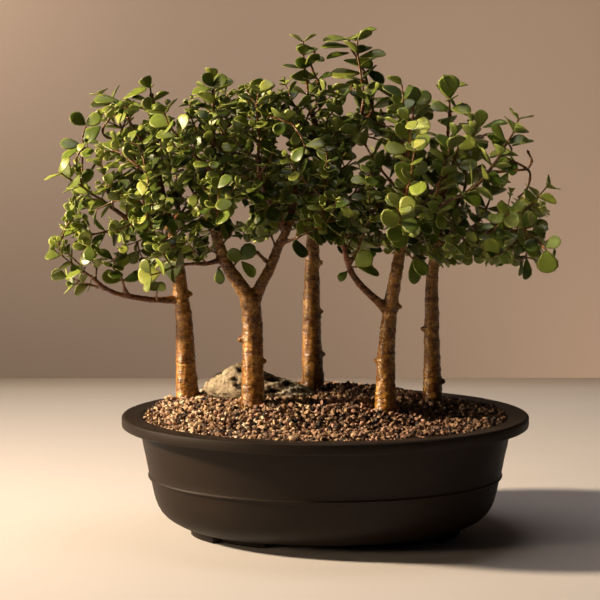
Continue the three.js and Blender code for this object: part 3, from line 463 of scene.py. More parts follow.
def add_node(made, kind, inputs=None, stops=None, **settings):
    """Adds one node to a finish, with its settings, and links or sets its inputs."""
    node = made.node_tree.nodes.new("ShaderNode" + kind)
    for name, value in settings.items():
        setattr(node, name, value)
    for name, value in (inputs or {}).items():
        socket = node.inputs[name]
        if isinstance(value, bpy.types.NodeSocket):
            made.node_tree.links.new(value, socket)
        else:
            socket.default_value = value
    if stops:
        ramp = node.color_ramp
        while len(ramp.elements) < len(stops):
            ramp.elements.new(1)
        for element, (position, shade) in zip(ramp.elements, stops):
            element.position = position
            element.color = colour(shade)
    return node.outputs


def moulded_pot_finish():
    """Polypropylene, injection moulded in brown that is nearly black: satin, with a faint
    orange peel from the mould, soft flow marks, and pale dust and a few dried splashes."""
    made, add = finish("moulded_polypropylene")
    place = add("TexCoord")["Object"]
    peel = add("TexNoise", {"Vector": place, "Scale": 1400, "Detail": 3, "Roughness": 0.6})["Fac"]
    clouds = add("TexNoise", {"Vector": place, "Scale": 26, "Detail": 5, "Roughness": 0.6})["Fac"]
    specks = add("TexNoise", {"Vector": place, "Scale": 420, "Detail": 4, "Roughness": 0.7})["Fac"]
    plastic = add("ValToRGB", {"Fac": clouds}, [(0.3, "#140b04"), (0.7, "#1c1006")])["Color"]
    dust = add("ValToRGB", {"Fac": specks}, [(0.55, "#000000"), (0.8, "#ffffff")])["Color"]
    amount = add("Math", {0: dust, 1: 0.07}, operation="MULTIPLY")["Value"]
    mixed = add("Mix", {0: amount, 6: plastic, 7: colour("#4c3d30")}, data_type="RGBA")[2]
    rough = add("MapRange", {
        "Value": clouds, "From Min": 0.3, "From Max": 0.7, "To Min": 0.48, "To Max": 0.6,
    })[0]
    bump = add("Bump", {"Height": peel, "Strength": 0.25, "Distance": 0.00012})["Normal"]
    shader = add("BsdfPrincipled", {
        "Base Color": mixed, "Roughness": rough, "Specular IOR Level": 0.23, "Normal": bump,
    })
    add("OutputMaterial", {"Surface": shader["BSDF"]})
    return made


def screen_finish():
    """Polyethylene mesh, extruded black: dull, dusted with soil."""
    made, add = finish("black_polyethylene_mesh")
    place = add("TexCoord")["Object"]
    dust = add("TexNoise", {"Vector": place, "Scale": 900, "Detail": 4})["Fac"]
    shade = add("ValToRGB", {"Fac": dust}, [(0.45, "#151515"), (0.75, "#3b2f26")])["Color"]
    bump = add("Bump", {"Height": dust, "Strength": 0.3, "Distance": 0.0002})["Normal"]
    shader = add("BsdfPrincipled", {"Base Color": shade, "Roughness": 0.6, "IOR": 1.5, "Normal": bump})
    add("OutputMaterial", {"Surface": shader["BSDF"]})
    return made


def soil_finish():
    """Potting soil of peat and grit: crumbs of 1 to 3 mm, near black, with pale grit."""
    made, add = finish("peat_potting_soil")
    place = add("TexCoord")["Object"]
    crumb = add("TexVoronoi", {"Vector": place, "Scale": 480})
    fine = add("TexNoise", {"Vector": place, "Scale": 900, "Detail": 5})["Fac"]
    pale = add("SeparateColor", {"Color": crumb["Color"]})["Red"]
    shade = add("ValToRGB", {"Fac": pale}, [
        (0.0, "#1d130c"), (0.7, "#3a281b"), (0.93, "#4b3a2a"), (1.0, "#a3937c"),
    ])["Color"]
    height = add("Math", {0: crumb["Distance"], 1: fine}, operation="SUBTRACT")["Value"]
    bump = add("Bump", {"Height": height, "Strength": 0.8, "Distance": 0.0012})["Normal"]
    shader = add("BsdfPrincipled", {"Base Color": shade, "Roughness": 0.95, "Normal": bump})
    add("OutputMaterial", {"Surface": shader["BSDF"]})
    return made


def grit_finish():
    """Crushed granite grit, washed: each grain its own tan, cream, pink-grey or brown, with
    fine crystals of 0.5 mm, and painted shade: darker towards the right, near-black in the bed."""
    made, add = finish("crushed_granite_grit")
    place = add("TexCoord")["Object"]
    # grain: each grain's own tone, with painted shade towards the right and in the bed
    grain = add("Attribute", attribute_name="grain")["Fac"]
    crystals = add("TexNoise", {"Vector": place, "Scale": 1500, "Detail": 3, "Roughness": 0.7})["Fac"]
    stone = add("ValToRGB", {"Fac": grain}, [
        (0.0, "#20150d"), (0.1, "#3f2a1c"), (0.24, "#6a4a34"), (0.38, "#8c664b"), (0.5, "#9c7f5a"),
        (0.62, "#b08876"), (0.75, "#c2a07c"), (0.87, "#dabd96"), (1.0, "#f2e2c8"),
    ])["Color"]
    flecks = add("ValToRGB", {"Fac": crystals}, [
        (0.3, "#857a72"), (0.5, "#d2ccc6"), (0.68, "#ffffff"),
    ])["Color"]
    mixed = add("Mix", {0: 0.75, 6: stone, 7: flecks}, data_type="RGBA", blend_type="MULTIPLY")[2]
    bump = add("Bump", {"Height": crystals, "Strength": 0.5, "Distance": 0.0003})["Normal"]
    shader = add("BsdfPrincipled", {"Base Color": mixed, "Roughness": 0.72, "IOR": 1.54, "Normal": bump})
    add("OutputMaterial", {"Surface": shader["BSDF"]})
    return made


def rock_finish():
    """Weathered limestone: cream and tan, darker in its hollows from dirt and painted shade,
    with olive moss stains low down, and thin grey-green lichen towards its low end, which is
    painted paler there also as painted light."""
    made, add = finish("weathered_limestone")
    place = add("TexCoord")["Object"]
    hollow = add("Attribute", attribute_name="hollow")["Fac"]
    low_end = add("Attribute", attribute_name="low_end")["Fac"]
    foot = add("Attribute", attribute_name="foot")["Fac"]
    mottle = add("TexNoise", {"Vector": place, "Scale": 190, "Detail": 8, "Roughness": 0.74})["Fac"]
    sand = add("TexNoise", {"Vector": place, "Scale": 1000, "Detail": 5, "Roughness": 0.7})["Fac"]
    stone = add("ValToRGB", {"Fac": mottle}, [
        (0.3, "#544835"), (0.42, "#80715a"), (0.54, "#a4947a"), (0.7, "#cdbfa4"),
    ])["Color"]
    # lichen, painted pale, also as painted light on the low end, which a trunk shades
    lichen_and_painted_light = add("ValToRGB", {"Fac": mottle}, [
        (0.35, "#827f6c"), (0.5, "#b0ac98"), (0.68, "#dcd7c4"),
    ])["Color"]
    body = add("Mix", {0: low_end, 6: stone, 7: lichen_and_painted_light}, data_type="RGBA")[2]
    patchy = add("MapRange", {"Value": mottle, "From Min": 0.46, "From Max": 0.6})[0]
    stain = add("Math", {0: patchy, 1: foot}, operation="MULTIPLY")["Value"]
    mossy = add("Mix", {0: stain, 6: body, 7: colour("#5a5526")}, data_type="RGBA")[2]
    # dirt and painted shade, darkest in the hollows and cracks
    dirt_and_shade = add("ValToRGB", {"Fac": hollow}, [
        (0.25, "#ffffff"), (0.55, "#8a7663"), (0.88, "#1b140e"),
    ])["Color"]
    with_dirt_and_shade = add("Mix", {0: 1.0, 6: mossy, 7: dirt_and_shade}, data_type="RGBA", blend_type="MULTIPLY")[2]
    relief = add("Math", {0: mottle, 1: 2.2, 2: sand}, operation="MULTIPLY_ADD")["Value"]
    bump = add("Bump", {"Height": relief, "Strength": 0.9, "Distance": 0.0011})["Normal"]
    shader = add("BsdfPrincipled", {"Base Color": with_dirt_and_shade, "Roughness": 0.82, "IOR": 1.54, "Normal": bump})
    add("OutputMaterial", {"Surface": shader["BSDF"]})
    return made


def bark_finish():
    """Dwarf jade bark: thin, tight and waxy, so the light runs down it in streaks. Trunks are
    golden tan flaking over red-brown, with fine level wrinkles and dark rings at their old
    nodes. Limbs are red-brown, and this year's twigs are green-red."""
    made, add = finish("jade_bark")
    place = add("TexCoord")["Object"]
    age = add("Attribute", attribute_name="age")["Fac"]
    ring = add("Attribute", attribute_name="ring")["Fac"]
    banded = add("Mapping", {"Vector": place, "Scale": (1, 1, 1.8)})["Vector"]
    patch = add("TexNoise", {
        "Vector": banded, "Scale": 190, "Detail": 7, "Roughness": 0.66, "Distortion": 0.8,
    })["Fac"]
    fleck = add("TexNoise", {"Vector": place, "Scale": 800, "Detail": 4, "Roughness": 0.65})["Fac"]
    level = add("Mapping", {"Vector": place, "Scale": (0.16, 0.16, 1)})["Vector"]
    wrinkle = add("TexNoise", {
        "Vector": level, "Scale": 950, "Detail": 3, "Roughness": 0.6, "Distortion": 0.4,
    })["Fac"]
    old = add("ValToRGB", {"Fac": patch}, [
        (0.3, "#412910"), (0.41, "#704718"), (0.51, "#946522"), (0.6, "#b7883c"), (0.7, "#dfbf7e"),
    ])["Color"]
    young = add("ValToRGB", {"Fac": patch}, [
        (0.32, "#3d1f0e"), (0.52, "#6b3d1c"), (0.72, "#946034"),
    ])["Color"]
    shoot = add("ValToRGB", {"Fac": patch}, [(0.35, "#5b2f18"), (0.5, "#754a22"), (0.68, "#7a6b2e")])["Color"]
    thick = add("MapRange", {"Value": age, "From Min": 0.25, "From Max": 0.7})[0]
    woody = add("MapRange", {"Value": age, "From Min": 0.0, "From Max": 0.18})[0]
    limb = add("Mix", {0: woody, 6: shoot, 7: young}, data_type="RGBA")[2]
    skin = add("Mix", {0: thick, 6: limb, 7: old}, data_type="RGBA")[2]
    flecked = add("ValToRGB", {"Fac": fleck}, [
        (0.34, "#8c7a6c"), (0.5, "#e6ded4"), (0.66, "#ffffff"),
    ])["Color"]
    worn = add("Mix", {0: 0.6, 6: skin, 7: flecked}, data_type="RGBA", blend_type="MULTIPLY")[2]
    ringed = add("Mix", {0: ring, 6: worn, 7: colour("#23120a")}, data_type="RGBA")[2]
    rough = add("MapRange", {
        "Value": fleck, "From Min": 0.3, "From Max": 0.7, "To Min": 0.22, "To Max": 0.36,
    })[0]
    relief = add("Math", {0: wrinkle, 1: 1.6, 2: patch}, operation="MULTIPLY_ADD")["Value"]
    bump = add("Bump", {"Height": relief, "Strength": 0.75, "Distance": 0.0006})["Normal"]
    shader = add("BsdfPrincipled", {
        "Base Color": ringed, "Roughness": rough, "IOR": 1.55, "Specular IOR Level": 0.55, "Normal": bump,
    })
    add("OutputMaterial", {"Surface": shader["BSDF"]})
    return made


def leaf_finish():
    """Dwarf jade leaf: thick, water-filled and waxy, so it is glossy and a little light soaks
    in. Old leaves are deep green, the young ones at the tips yellow-green; the margin and the
    underside are paler."""
    made, add = finish("jade_leaf")
    place = add("TexCoord")["Object"]
    tone = add("Attribute", attribute_name="tone")["Fac"]
    # the young mix also paints light on the low right branch's top, and shade under it
    youth_and_painted_light = add("Attribute", attribute_name="youth_and_painted_light")["Fac"]
    margin = add("Attribute", attribute_name="margin")["Fac"]
    under = add("Attribute", attribute_name="under")["Fac"]
    mottle = add("TexNoise", {"Vector": place, "Scale": 260, "Detail": 4, "Roughness": 0.6})["Fac"]
    dimple = add("TexNoise", {"Vector": place, "Scale": 520, "Detail": 3, "Roughness": 0.55})["Fac"]
    varied = add("Math", {0: mottle, 1: 0.35, 2: tone}, operation="MULTIPLY_ADD")["Value"]
    old = add("ValToRGB", {"Fac": varied}, [(0.15, "#28380b"), (0.55, "#4d6219"), (1.0, "#86963a")])["Color"]
    young = add("ValToRGB", {"Fac": varied}, [(0.2, "#7c882e"), (0.6, "#a0a542"), (1.0, "#c4c268")])["Color"]
    blade = add("Mix", {0: youth_and_painted_light, 6: old, 7: young}, data_type="RGBA")[2]
    edge = add("Math", {0: margin, 1: 0.35}, operation="MULTIPLY")["Value"]
    rimmed = add("Mix", {0: edge, 6: blade, 7: colour("#a8a44c")}, data_type="RGBA")[2]
    belly = add("Math", {0: under, 1: 0.3}, operation="MULTIPLY")["Value"]
    pale = add("Mix", {0: belly, 6: rimmed, 7: colour("#9aa25e")}, data_type="RGBA")[2]
    bump = add("Bump", {"Height": dimple, "Strength": 0.3, "Distance": 0.0004})["Normal"]
    shader = add("BsdfPrincipled", {
        "Base Color": pale, "Roughness": 0.4, "IOR": 1.45, "Normal": bump,
        "Subsurface Weight": 0.12, "Subsurface Radius": (0.6, 1.0, 0.2), "Subsurface Scale": 0.0012,
    })
    add("OutputMaterial", {"Surface": shader["BSDF"]})
    return made


# ---------------------------------------------------------------- modelling tools


def deselect():
    """Selects nothing, in object mode."""
    if bpy.context.object and bpy.context.object.mode != "OBJECT":
        bpy.ops.object.mode_set(mode="OBJECT")
    bpy.ops.object.select_all(action="DESELECT")


def hold(*pieces):
    """Selects these pieces alone, the first of them active."""
    deselect()
    for piece in pieces:
        piece.select_set(True)
    bpy.context.view_layer.objects.active = pieces[0]


def pick(test):
    """In edit mode, selects the vertices that pass the test, and the edges and faces between."""
    piece = bpy.context.edit_object
    shape = bmesh.from_edit_mesh(piece.data)
    bpy.ops.mesh.select_all(action="DESELECT")
    for vertex in shape.verts:
        vertex.select_set(bool(test(vertex.co)))
    shape.select_flush_mode()
    shape.select_flush(True)
    bmesh.update_edit_mesh(piece.data)


def modify(piece, kind, **settings):
    """Adds one modifier to a piece and applies it."""
    hold(piece)
    modifier = piece.modifiers.new(kind.lower(), kind)
    for name, value in settings.items():
        setattr(modifier, name, value)
    bpy.ops.object.modifier_apply(modifier=modifier.name)


def face_out():
    """In edit mode, turns every face outwards."""
    bpy.ops.mesh.select_all(action="SELECT")
    bpy.ops.mesh.normals_make_consistent(inside=False)


def put_down(piece):
    """Leaves edit mode and puts the piece's place into its mesh."""
    hold(piece)
    bpy.ops.object.transform_apply(location=True, rotation=True, scale=True)


def start_oval(sides, radius, stretch, height):
    """A flat oval about the pot's middle, in edit mode: a filled circle, drawn in."""
    deselect()
    middle = (MIDDLE.x, MIDDLE.y, height * MM)
    bpy.ops.mesh.primitive_circle_add(vertices=sides, radius=radius * MM, fill_type="NGON", location=middle)
    bpy.ops.object.mode_set(mode="EDIT")
    bpy.ops.mesh.select_all(action="SELECT")
    bpy.ops.transform.resize(value=stretch, center_override=middle)
    return bpy.context.object


def link(name, data):
    """A new object in the scene, with this data."""
    made = bpy.data.objects.new(name, data)
    bpy.context.scene.collection.objects.link(made)
    return made


def link_mesh(name, points, faces):
    mesh = bpy.data.meshes.new(name)
    mesh.from_pydata(points, [], faces)
    return link(name, mesh)


def draw_stems(name, stems, roundness):
    """Round stems, each a row of (point, radius), in one curve that is turned into a mesh."""
    line = bpy.data.curves.new(name, "CURVE")
    line.dimensions = "3D"
    line.bevel_depth = MM
    line.bevel_resolution = roundness
    line.use_fill_caps = True
    for stem in stems:
        spline = line.splines.new("POLY")
        spline.points.add(len(stem) - 1)
        for spot, (point, radius) in zip(spline.points, stem):
            spot.co = (*placed(point), 1)
            spot.radius = radius
    hold(link(name, line))
    bpy.ops.object.convert(target="MESH")
    return bpy.context.object


def settle(piece, name, material, smooth=None):
    """Puts a finished piece's place into its mesh and gives it its finish and body."""
    put_down(piece)
    if smooth is not None:
        bpy.ops.object.shade_smooth_by_angle(angle=math.radians(smooth))
    piece.name = piece.data.name = name
    piece.data.materials.clear()
    piece.data.materials.append(material)
    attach(piece, "root")
    return piece


def corners_of(piece):
    found = np.empty(len(piece.data.vertices) * 3, np.float32)
    piece.data.vertices.foreach_get("co", found)
    return found.reshape(-1, 3).astype(float)


def move_corners(piece, points):
    piece.data.vertices.foreach_set("co", np.asarray(points, np.float32).ravel())
    piece.data.update()


def mark(piece, name, values):
    """Writes one number a vertex, for a finish to read."""
    layer = piece.data.attributes.new(name, "FLOAT", "POINT")
    layer.data.foreach_set("value", np.asarray(values, np.float32))


def strew(name, patterns, copies, smooth):
    """One piece from many copies of a few patterns. A copy is (pattern number, 3x3 matrix in
    millimetres, place in millimetres, {mark: value})."""
    points, faces, marks = [], [], {}
    start = 0
    for number, pattern in enumerate(patterns):
        own = [c for c in copies if c[0] == number]
        if not own:
            continue
        shape = corners_of(pattern)
        turns = np.array([c[1] for c in own])
        places = np.array([c[2] for c in own])
        spread = np.einsum("cij,vj->cvi", turns, shape) + places[:, None, :]
        points.append(spread.reshape(-1, 3))
        loops = [list(p.vertices) for p in pattern.data.polygons]
        for c in range(len(own)):
            shift = start + c * len(shape)
            faces.extend([[i + shift for i in loop] for loop in loops])
        start += len(own) * len(shape)
        for layer in pattern.data.attributes:
            if layer.data_type == "FLOAT" and layer.domain == "POINT":
                value = np.empty(len(shape), np.float32)
                layer.data.foreach_get("value", value)
                marks.setdefault(layer.name, []).append(np.tile(value, len(own)))
        for key in own[0][3]:
            marks.setdefault(key, []).append(np.repeat([c[3][key] for c in own], len(shape)))
    piece = link_mesh(name, placed(np.concatenate(points)), faces)
    for key, values in marks.items():
        mark(piece, key, np.concatenate(values))
    piece.data.polygons.foreach_set("use_smooth", np.full(len(faces), smooth))
    piece.data.update()
    return piece


# ---------------------------------------------------------------- pot


def mould_pot():
    """The pot's wall is drawn up ring by ring from its floor, over the lip and down inside."""
    long, height = POT_PROFILE[0]
    pot = start_oval(POT_SIDES, long, (1, short_axis(long) / long, 1), height)
    for wider, higher in POT_PROFILE[1:]:
        bpy.ops.mesh.extrude_region_move(TRANSFORM_OT_translate={"value": (0, 0, (higher - height) * MM)})
        stretch = (wider / long, short_axis(wider) / short_axis(long), 1)
        bpy.ops.transform.resize(value=stretch, center_override=(MIDDLE.x, MIDDLE.y, higher * MM))
        long, height = wider, higher
    face_out()
    put_down(pot)
    for mirror in ((1, 1), (-1, 1), (-1, -1), (1, -1)):
        foot = mould_foot(mirror)
        modify(pot, "BOOLEAN", operation="UNION", solver="EXACT", object=foot)
        bpy.data.objects.remove(foot)
    for side in (-1, 1):
        bpy.ops.mesh.primitive_cylinder_add(
            vertices=HOLE_SIDES, radius=HOLE_RADIUS * MM, depth=PUNCH_LENGTH * MM,
            location=(MIDDLE.x + side * HOLE_AT * MM, MIDDLE.y, 0),
        )
        punch = bpy.context.object
        modify(pot, "BOOLEAN", operation="DIFFERENCE", solver="EXACT", object=punch)
        bpy.data.objects.remove(punch)
    settle(pot, "oval_pot", moulded_pot_finish(), smooth=32)
    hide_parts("pot")


def mould_foot(mirror):
    """One foot: a curved block under the floor's edge, deeper at the lobe near the pot's end,
    with its lower edges rounded."""

    def arc(long, start, end, steps):
        ways = [math.radians(start + (end - start) * i / steps) for i in range(steps + 1)]
        return [(long * math.cos(a), short_axis(long) * math.sin(a)) for a in ways]

    outline = arc(FOOT_OUTER, FOOT_FROM, FOOT_STEP, 8)
    outline += arc(FOOT_OUTER - FOOT_RECESS, FOOT_STEP + 1, FOOT_TO, 8)
    outline += arc(FOOT_OUTER - FOOT_DEPTH, FOOT_TO, FOOT_FROM, 10)
    deselect()
    bpy.ops.mesh.primitive_circle_add(vertices=len(outline), fill_type="NGON", location=(0, 0, 0))
    foot = bpy.context.object
    for vertex, (x, y) in zip(foot.data.vertices, outline):
        vertex.co = placed((x * mirror[0], y * mirror[1], 0))
    bpy.ops.object.mode_set(mode="EDIT")
    bpy.ops.mesh.select_all(action="SELECT")
    bpy.ops.mesh.extrude_region_move(TRANSFORM_OT_translate={"value": (0, 0, FOOT_TOP * MM)})
    face_out()
    pick(lambda p: p.z < 0.5 * FOOT_TOP * MM)
    bpy.ops.mesh.bevel(offset=FOOT_ROUND * MM, segments=3, affect="EDGES")
    bpy.ops.object.mode_set(mode="OBJECT")
    return foot


# ---------------------------------------------------------------- limbs


LIMB_STEPS = 200


class Limb:
    """A limb's smooth path (a centripetal Catmull-Rom curve through its points), measured
    along its length."""

    def __init__(self, thick, thin, bare, spurs, turn, pairs, path):
        self.thick, self.thin, self.bare, self.turn, self.pairs = thick, thin, bare, turn, pairs
        self.points = np.array(path, float)
        self.shares = np.arange(LIMB_STEPS + 1) / LIMB_STEPS
        steps = np.linalg.norm(np.diff([self.at(share) for share in self.shares], axis=0), axis=1)
        self.lengths = np.concatenate([[0], np.cumsum(steps)])
        self.length = self.lengths[-1]
        self.spurs = [self.spur(i, (i + SPUR_START) / spurs) for i in range(spurs)]

    def at(self, t):
        """The point at a share of the way from the first point to the last."""
        points, last = self.points, len(self.points) - 1
        i = min(int(math.floor(last * t)), last - 1)
        w = last * t - i
        p1, p2 = points[i], points[i + 1]
        p0 = points[i - 1] if i > 0 else 2 * points[0] - points[1]
        p3 = points[i + 2] if i + 2 <= last else 2 * points[last] - points[last - 1]
        d0, d1, d2 = [max(((b - a) @ (b - a)) ** 0.25, 1e-4) for a, b in ((p0, p1), (p1, p2), (p2, p3))]
        t1 = ((p1 - p0) / d0 - (p2 - p0) / (d0 + d1) + (p2 - p1) / d1) * d1
        t2 = ((p2 - p1) / d1 - (p3 - p1) / (d1 + d2) + (p3 - p2) / d2) * d1
        return p1 + t1 * w + (-3 * p1 + 3 * p2 - 2 * t1 - t2) * w * w + (2 * p1 - 2 * p2 + t1 + t2) * w**3

    def place(self, share):
        """At a share of its length: the point, the ways along, across and over, the radius."""
        t = float(np.interp(share * self.length, self.lengths, self.shares))
        point = self.at(t)
        along = unit(self.at(min(t + 1e-4, 1)) - self.at(max(t - 1e-4, 0)))
        across = across_of(along)
        return point, along, across, np.cross(along, across), self.thick + (self.thin - self.thick) * share

    def spur(self, number, share):
        """Where a spur starts, its direction and its end."""
        point, along, across, over, radius = self.place(self.bare + (1 - self.bare) * share)
        out = around(across, over, math.radians(self.turn + number * GOLDEN_ANGLE))
        way = unit(out * 0.8 + along * 0.6)
        return point, way, point + way * (radius + SPUR_LENGTH)


# ---------------------------------------------------------------- leaves and twigs


class Room:
    """What the crown already holds, as groups of spots: rows of x, y, z, radius."""

    cell = 20  # the size of a cell of the grid in which groups are looked up

    def __init__(self):
        self.groups, self.owners, self.grid = [], [], {}

    def ball(self, spots, spare=0):
        """The middle and the reach of a ball round the spots, and the cells that it touches."""
        middle = spots[:, :3].mean(0)
        reach = float((np.linalg.norm(spots[:, :3] - middle, axis=1) + spots[:, 3]).max()) + spare
        low = np.floor((middle - reach) / self.cell).astype(int)
        high = np.floor((middle + reach) / self.cell).astype(int)
        return middle, reach, itertools.product(*[range(a, b + 1) for a, b in zip(low, high)])

    def take(self, spots, owner):
        """Holds the spots for an owner."""
        spots = np.asarray(spots, float)
        for cell in self.ball(spots)[2]:
            self.grid.setdefault(cell, []).append(len(self.groups))
        self.groups.append(spots)
        self.owners.append(owner)

    def clear(self, spots, own, spare):
        """Whether spots stay so far from all that others hold."""
        spots = np.asarray(spots, float)
        middle, reach, cells = self.ball(spots, spare)
        near = {n for cell in cells for n in self.grid.get(cell, ())}
        held = [self.groups[n] for n in near if self.owners[n] != own]
        if not held:
            return True
        held = np.concatenate(held)
        held = held[np.linalg.norm(held[:, :3] - middle, axis=1) < reach + held[:, 3]]
        if not len(held):
            return True
        far = np.linalg.norm(spots[:, None, :3] - held[None, :, :3], axis=2)
        return bool((far > spots[:, None, 3] + held[None, :, 3] + spare).all())


# Where a leaf's blade is, as shares of its length and width: in full, and for small leaves.
SPOT_ROWS = [(0.18, 0.2), (0.32, 0.36), (0.46, 0.42), (0.6, 0.46), (0.75, 0.45), (0.88, 0.36), (1, 0.2)]
SPOT_COLUMNS = (-1, -0.5, 0, 0.5, 1)
SPOT_GRID = np.array([(a, b * c) for a, b in SPOT_ROWS for c in SPOT_COLUMNS])
FEW_SPOTS = np.array([
    (0.35, -0.3), (0.35, 0.3), (0.65, -0.42), (0.65, 0), (0.65, 0.42), (0.92, -0.25), (0.92, 0.25),
])


def leaf_spots(leaf, grid=SPOT_GRID, radius=LEAF_SPOT):
    """Spots over a leaf's blade, a little to its upper side."""
    blade = leaf["root"] + grid[:, :1] * leaf["long"] * leaf["length"]
    blade = blade + grid[:, 1:] * leaf["level"] * leaf["width"] + leaf["upper"] * LEAF_THICK * 0.4
    return np.column_stack([blade, np.full(len(grid), radius)])


def grow_stem(seed, base, start, pairs, attempt):
    """A spray's stem: its nodes from the base up, each with a square frame. Each new attempt
    wanders more."""
    seed += attempt * 64
    point, along = base + start * GAP, start
    across = turned(across_of(along), along, swing(seed) * math.pi)
    nodes = []
    for k in range(pairs + 1):
        if k:
            wander = swings(seed + 3 * k, 3) * STEM_WANDER * (1 + attempt * STEM_LOOSER)
            along = unit(along + wander + UP * STEM_RISE)
            across = unit(across - along * (across @ along))
            point = point + along * NODE_PITCH * (FIRST_PITCH if k == 1 else 1)
        nodes.append(dict(point=point, along=along, across=across, over=np.cross(along, across),
                          half=STEM_HALF * STEM_TAPER**k))
    return nodes


def stem_spots(nodes):
    """Spots along a stem. The first is clear of the wood that the stem grows from."""
    spots = []
    for k, (node, after) in enumerate(zip(nodes, nodes[1:])):
        for share in (0.75, 1) if k == 0 else (0.25, 0.5, 0.75, 1):
            spots.append([*between(node["point"], after["point"], share), node["half"] * STEM_SWELL])
    return spots


def out_of(node, face):
    """The way out of one of a node's four faces."""
    out = node["over"] if face % 2 else node["across"]
    return -out if face > 1 else out


def grow_leaf(seed, node, face, size, attempt):
    """One leaf on a face of a stem's node. Each new attempt is looser and a little smaller."""
    seed += attempt * 8
    out = out_of(node, face)
    loose = 1 + attempt * LEAF_LOOSER
    spread = math.radians(LEAF_SPREAD + swing(seed) * SPREAD_RANGE * loose)
    sweep = swing(seed + 1) * SWEEP_RANGE * loose
    side = np.cross(node["along"], out)
    long = unit(around(node["along"], out, spread) + side * sweep)
    level = turned(unit(side - long * (side @ long)), long, swing(seed + 2) * TWIST_RANGE * loose)
    scale = size * (LEAST_SIZE + SIZE_RANGE * chance(seed + 3)) * (1 - LEAF_SMALLER * attempt)
    return dict(root=node["point"] + out * node["half"], long=long, level=level, upper=np.cross(long, level),
                length=LEAF_LENGTH * scale, width=LEAF_WIDTH * scale)


def take_wood(room, limbs):
    """Holds the room that the limbs and their spurs fill."""
    for limb in limbs:
        steps = math.ceil(limb.length / 3)
        for i in range(steps + 1):
            point, _, _, _, radius = limb.place(i / steps)
            room.take([[*point, radius * 1.05]], "wood")
        for start, _, end in limb.spurs:
            for share in (0.5, 1):
                room.take([[*between(start, end, share), SPUR_RADIUS]], "wood")


def grow_sprays(room, forest):
    """The stem of every spray: each limb's end first, then its spurs."""
    sprays = []
    for name, limbs in forest.items():
        number = 0
        for limb in limbs:
            if limb.pairs == 0:
                continue
            for base, way in [limb.place(1)[:2]] + [(end, way) for _, way, end in limb.spurs]:
                number += 1
                seed = 10000 * (len(sprays) + 1)
                spray = dict(tree=name, name=f"{name}_spray_{number:02d}", seed=seed, leaves=[])
                for attempt in range(STEM_TRIES):
                    pairs = limb.pairs - (attempt >= STEM_TRIES / 2)
                    spray["nodes"] = grow_stem(seed, base, way, pairs, attempt)
                    if room.clear(stem_spots(spray["nodes"]), "", CLEARANCE):
                        break
                for spot in stem_spots(spray["nodes"]):
                    room.take([spot], "stem " + spray["name"])
                sprays.append(spray)
    return sprays


def set_leaves(room, sprays):
    """Leaves are set pair by pair up all the sprays at once. One that would touch something
    is turned and shortened, and left off if nothing helps."""
    for k in range(1, max(len(s["nodes"]) for s in sprays)):
        for spray in sprays:
            if k >= len(spray["nodes"]):
                continue
            size = TIP_SIZE if k == len(spray["nodes"]) - 1 else 1
            for half in (0, 2):
                face, seed = k % 2 + half, spray["seed"] + 200 + k * 256 + half * 64
                for attempt in range(LEAF_TRIES):
                    leaf = grow_leaf(seed, spray["nodes"][k], face, size, attempt)
                    spots = leaf_spots(leaf)
                    if room.clear(spots, "stem " + spray["name"], CLEARANCE):
                        room.take(spots, "leaf")
                        spray["leaves"].append(dict(leaf, k=k, face=face))
                        break


LEAF_SHARE = 0.84  # of the solid leaf's size that the finished one has, clear of its neighbours
SHOOT_PITCH = 5.4
SHOOT_WANDER = 0.6
SHOOT_TIP = 0.42  # the radius of a shoot's end
LONGEST_SHOOT = 10  # pairs of leaves
LIMB_SHOOT_PITCH = 4.5
# How strongly a shoot turns up and outwards when it has no aim, and to its aim and up.
FREE_RISE, FREE_OUTWARD = 0.12, 0.1
AIM_PULL, AIM_RISE = 0.55, 0.06
STEP_SHARE = (0.85, 0.4)  # a step as a share of the pitch: the least, and what chance adds
# The leaf length of a shoot from an axil, from a limb and into a hollow, in the same way, and
# what share of it one leaf has.
AXIL_LEAF, LIMB_LEAF, HOLLOW_LEAF = (8.6, 3.2), (8.8, 3.2), (8.4, 3.4)
TIP_LEAF = 9.5
SMALL_SHARE = (0.72, 0.5)
LAST_SHARE, BUD_SHARE = 0.75, 0.42  # the last pair's share of that, and the buds' share
# How far a small leaf stands off its stem and how much that varies, in degrees, how loosely
# it turns, what its upper side looks to (along the stem, up and outwards), and its width as a
# share of its length.
SMALL_SPREAD, SMALL_RANGE, SMALL_LOOSE = 62, 34, 0.8
LOOK_ALONG, LOOK_UP, LOOK_OUT = 0.6, 1.05, 0.32
SMALL_WIDTH, SMALL_WIDTH_RANGE = 0.84, 0.12
# How thick shoots from an axil, a spray's tip and a limb are, and those into a hollow, which
# are thicker with each pair.
AXIL_THICK, TIP_THICK, LIMB_THICK = 0.75, 0.7, 0.85
HOLLOW_THICK, PAIR_THICK = 0.7, 0.035
REACH = 46  # how far a shoot goes to fill a hollow
HOLLOW = 7.2  # a hollow is a place with no leaf nearer than this
HOLLOW_PITCH = 13
LAPS = 2  # how often the hollows are looked for and filled
# Where the draws of each kind of growth start.
AXIL_DRAWS, TIP_DRAWS, LIMB_DRAWS = 3000000, 3500000, 6000000
HOLLOW_DRAWS, GRID_DRAWS, SHOOT_LEAF_DRAWS = 20000000, 50000000, 9000000
TOP_X, TOP_Z = zip(*CROWN_TOP)
LOW_X, LOW_Z = zip(*CROWN_LOW)


def face_plane(point):
    """Where the front view shows a point, in the plane of the pot's middle."""
    scale = CAMERA_AT[1] / (CAMERA_AT[1] - point[1])
    return [CAMERA_AT[i] + (point[i] - CAMERA_AT[i]) * scale for i in (0, 2)]


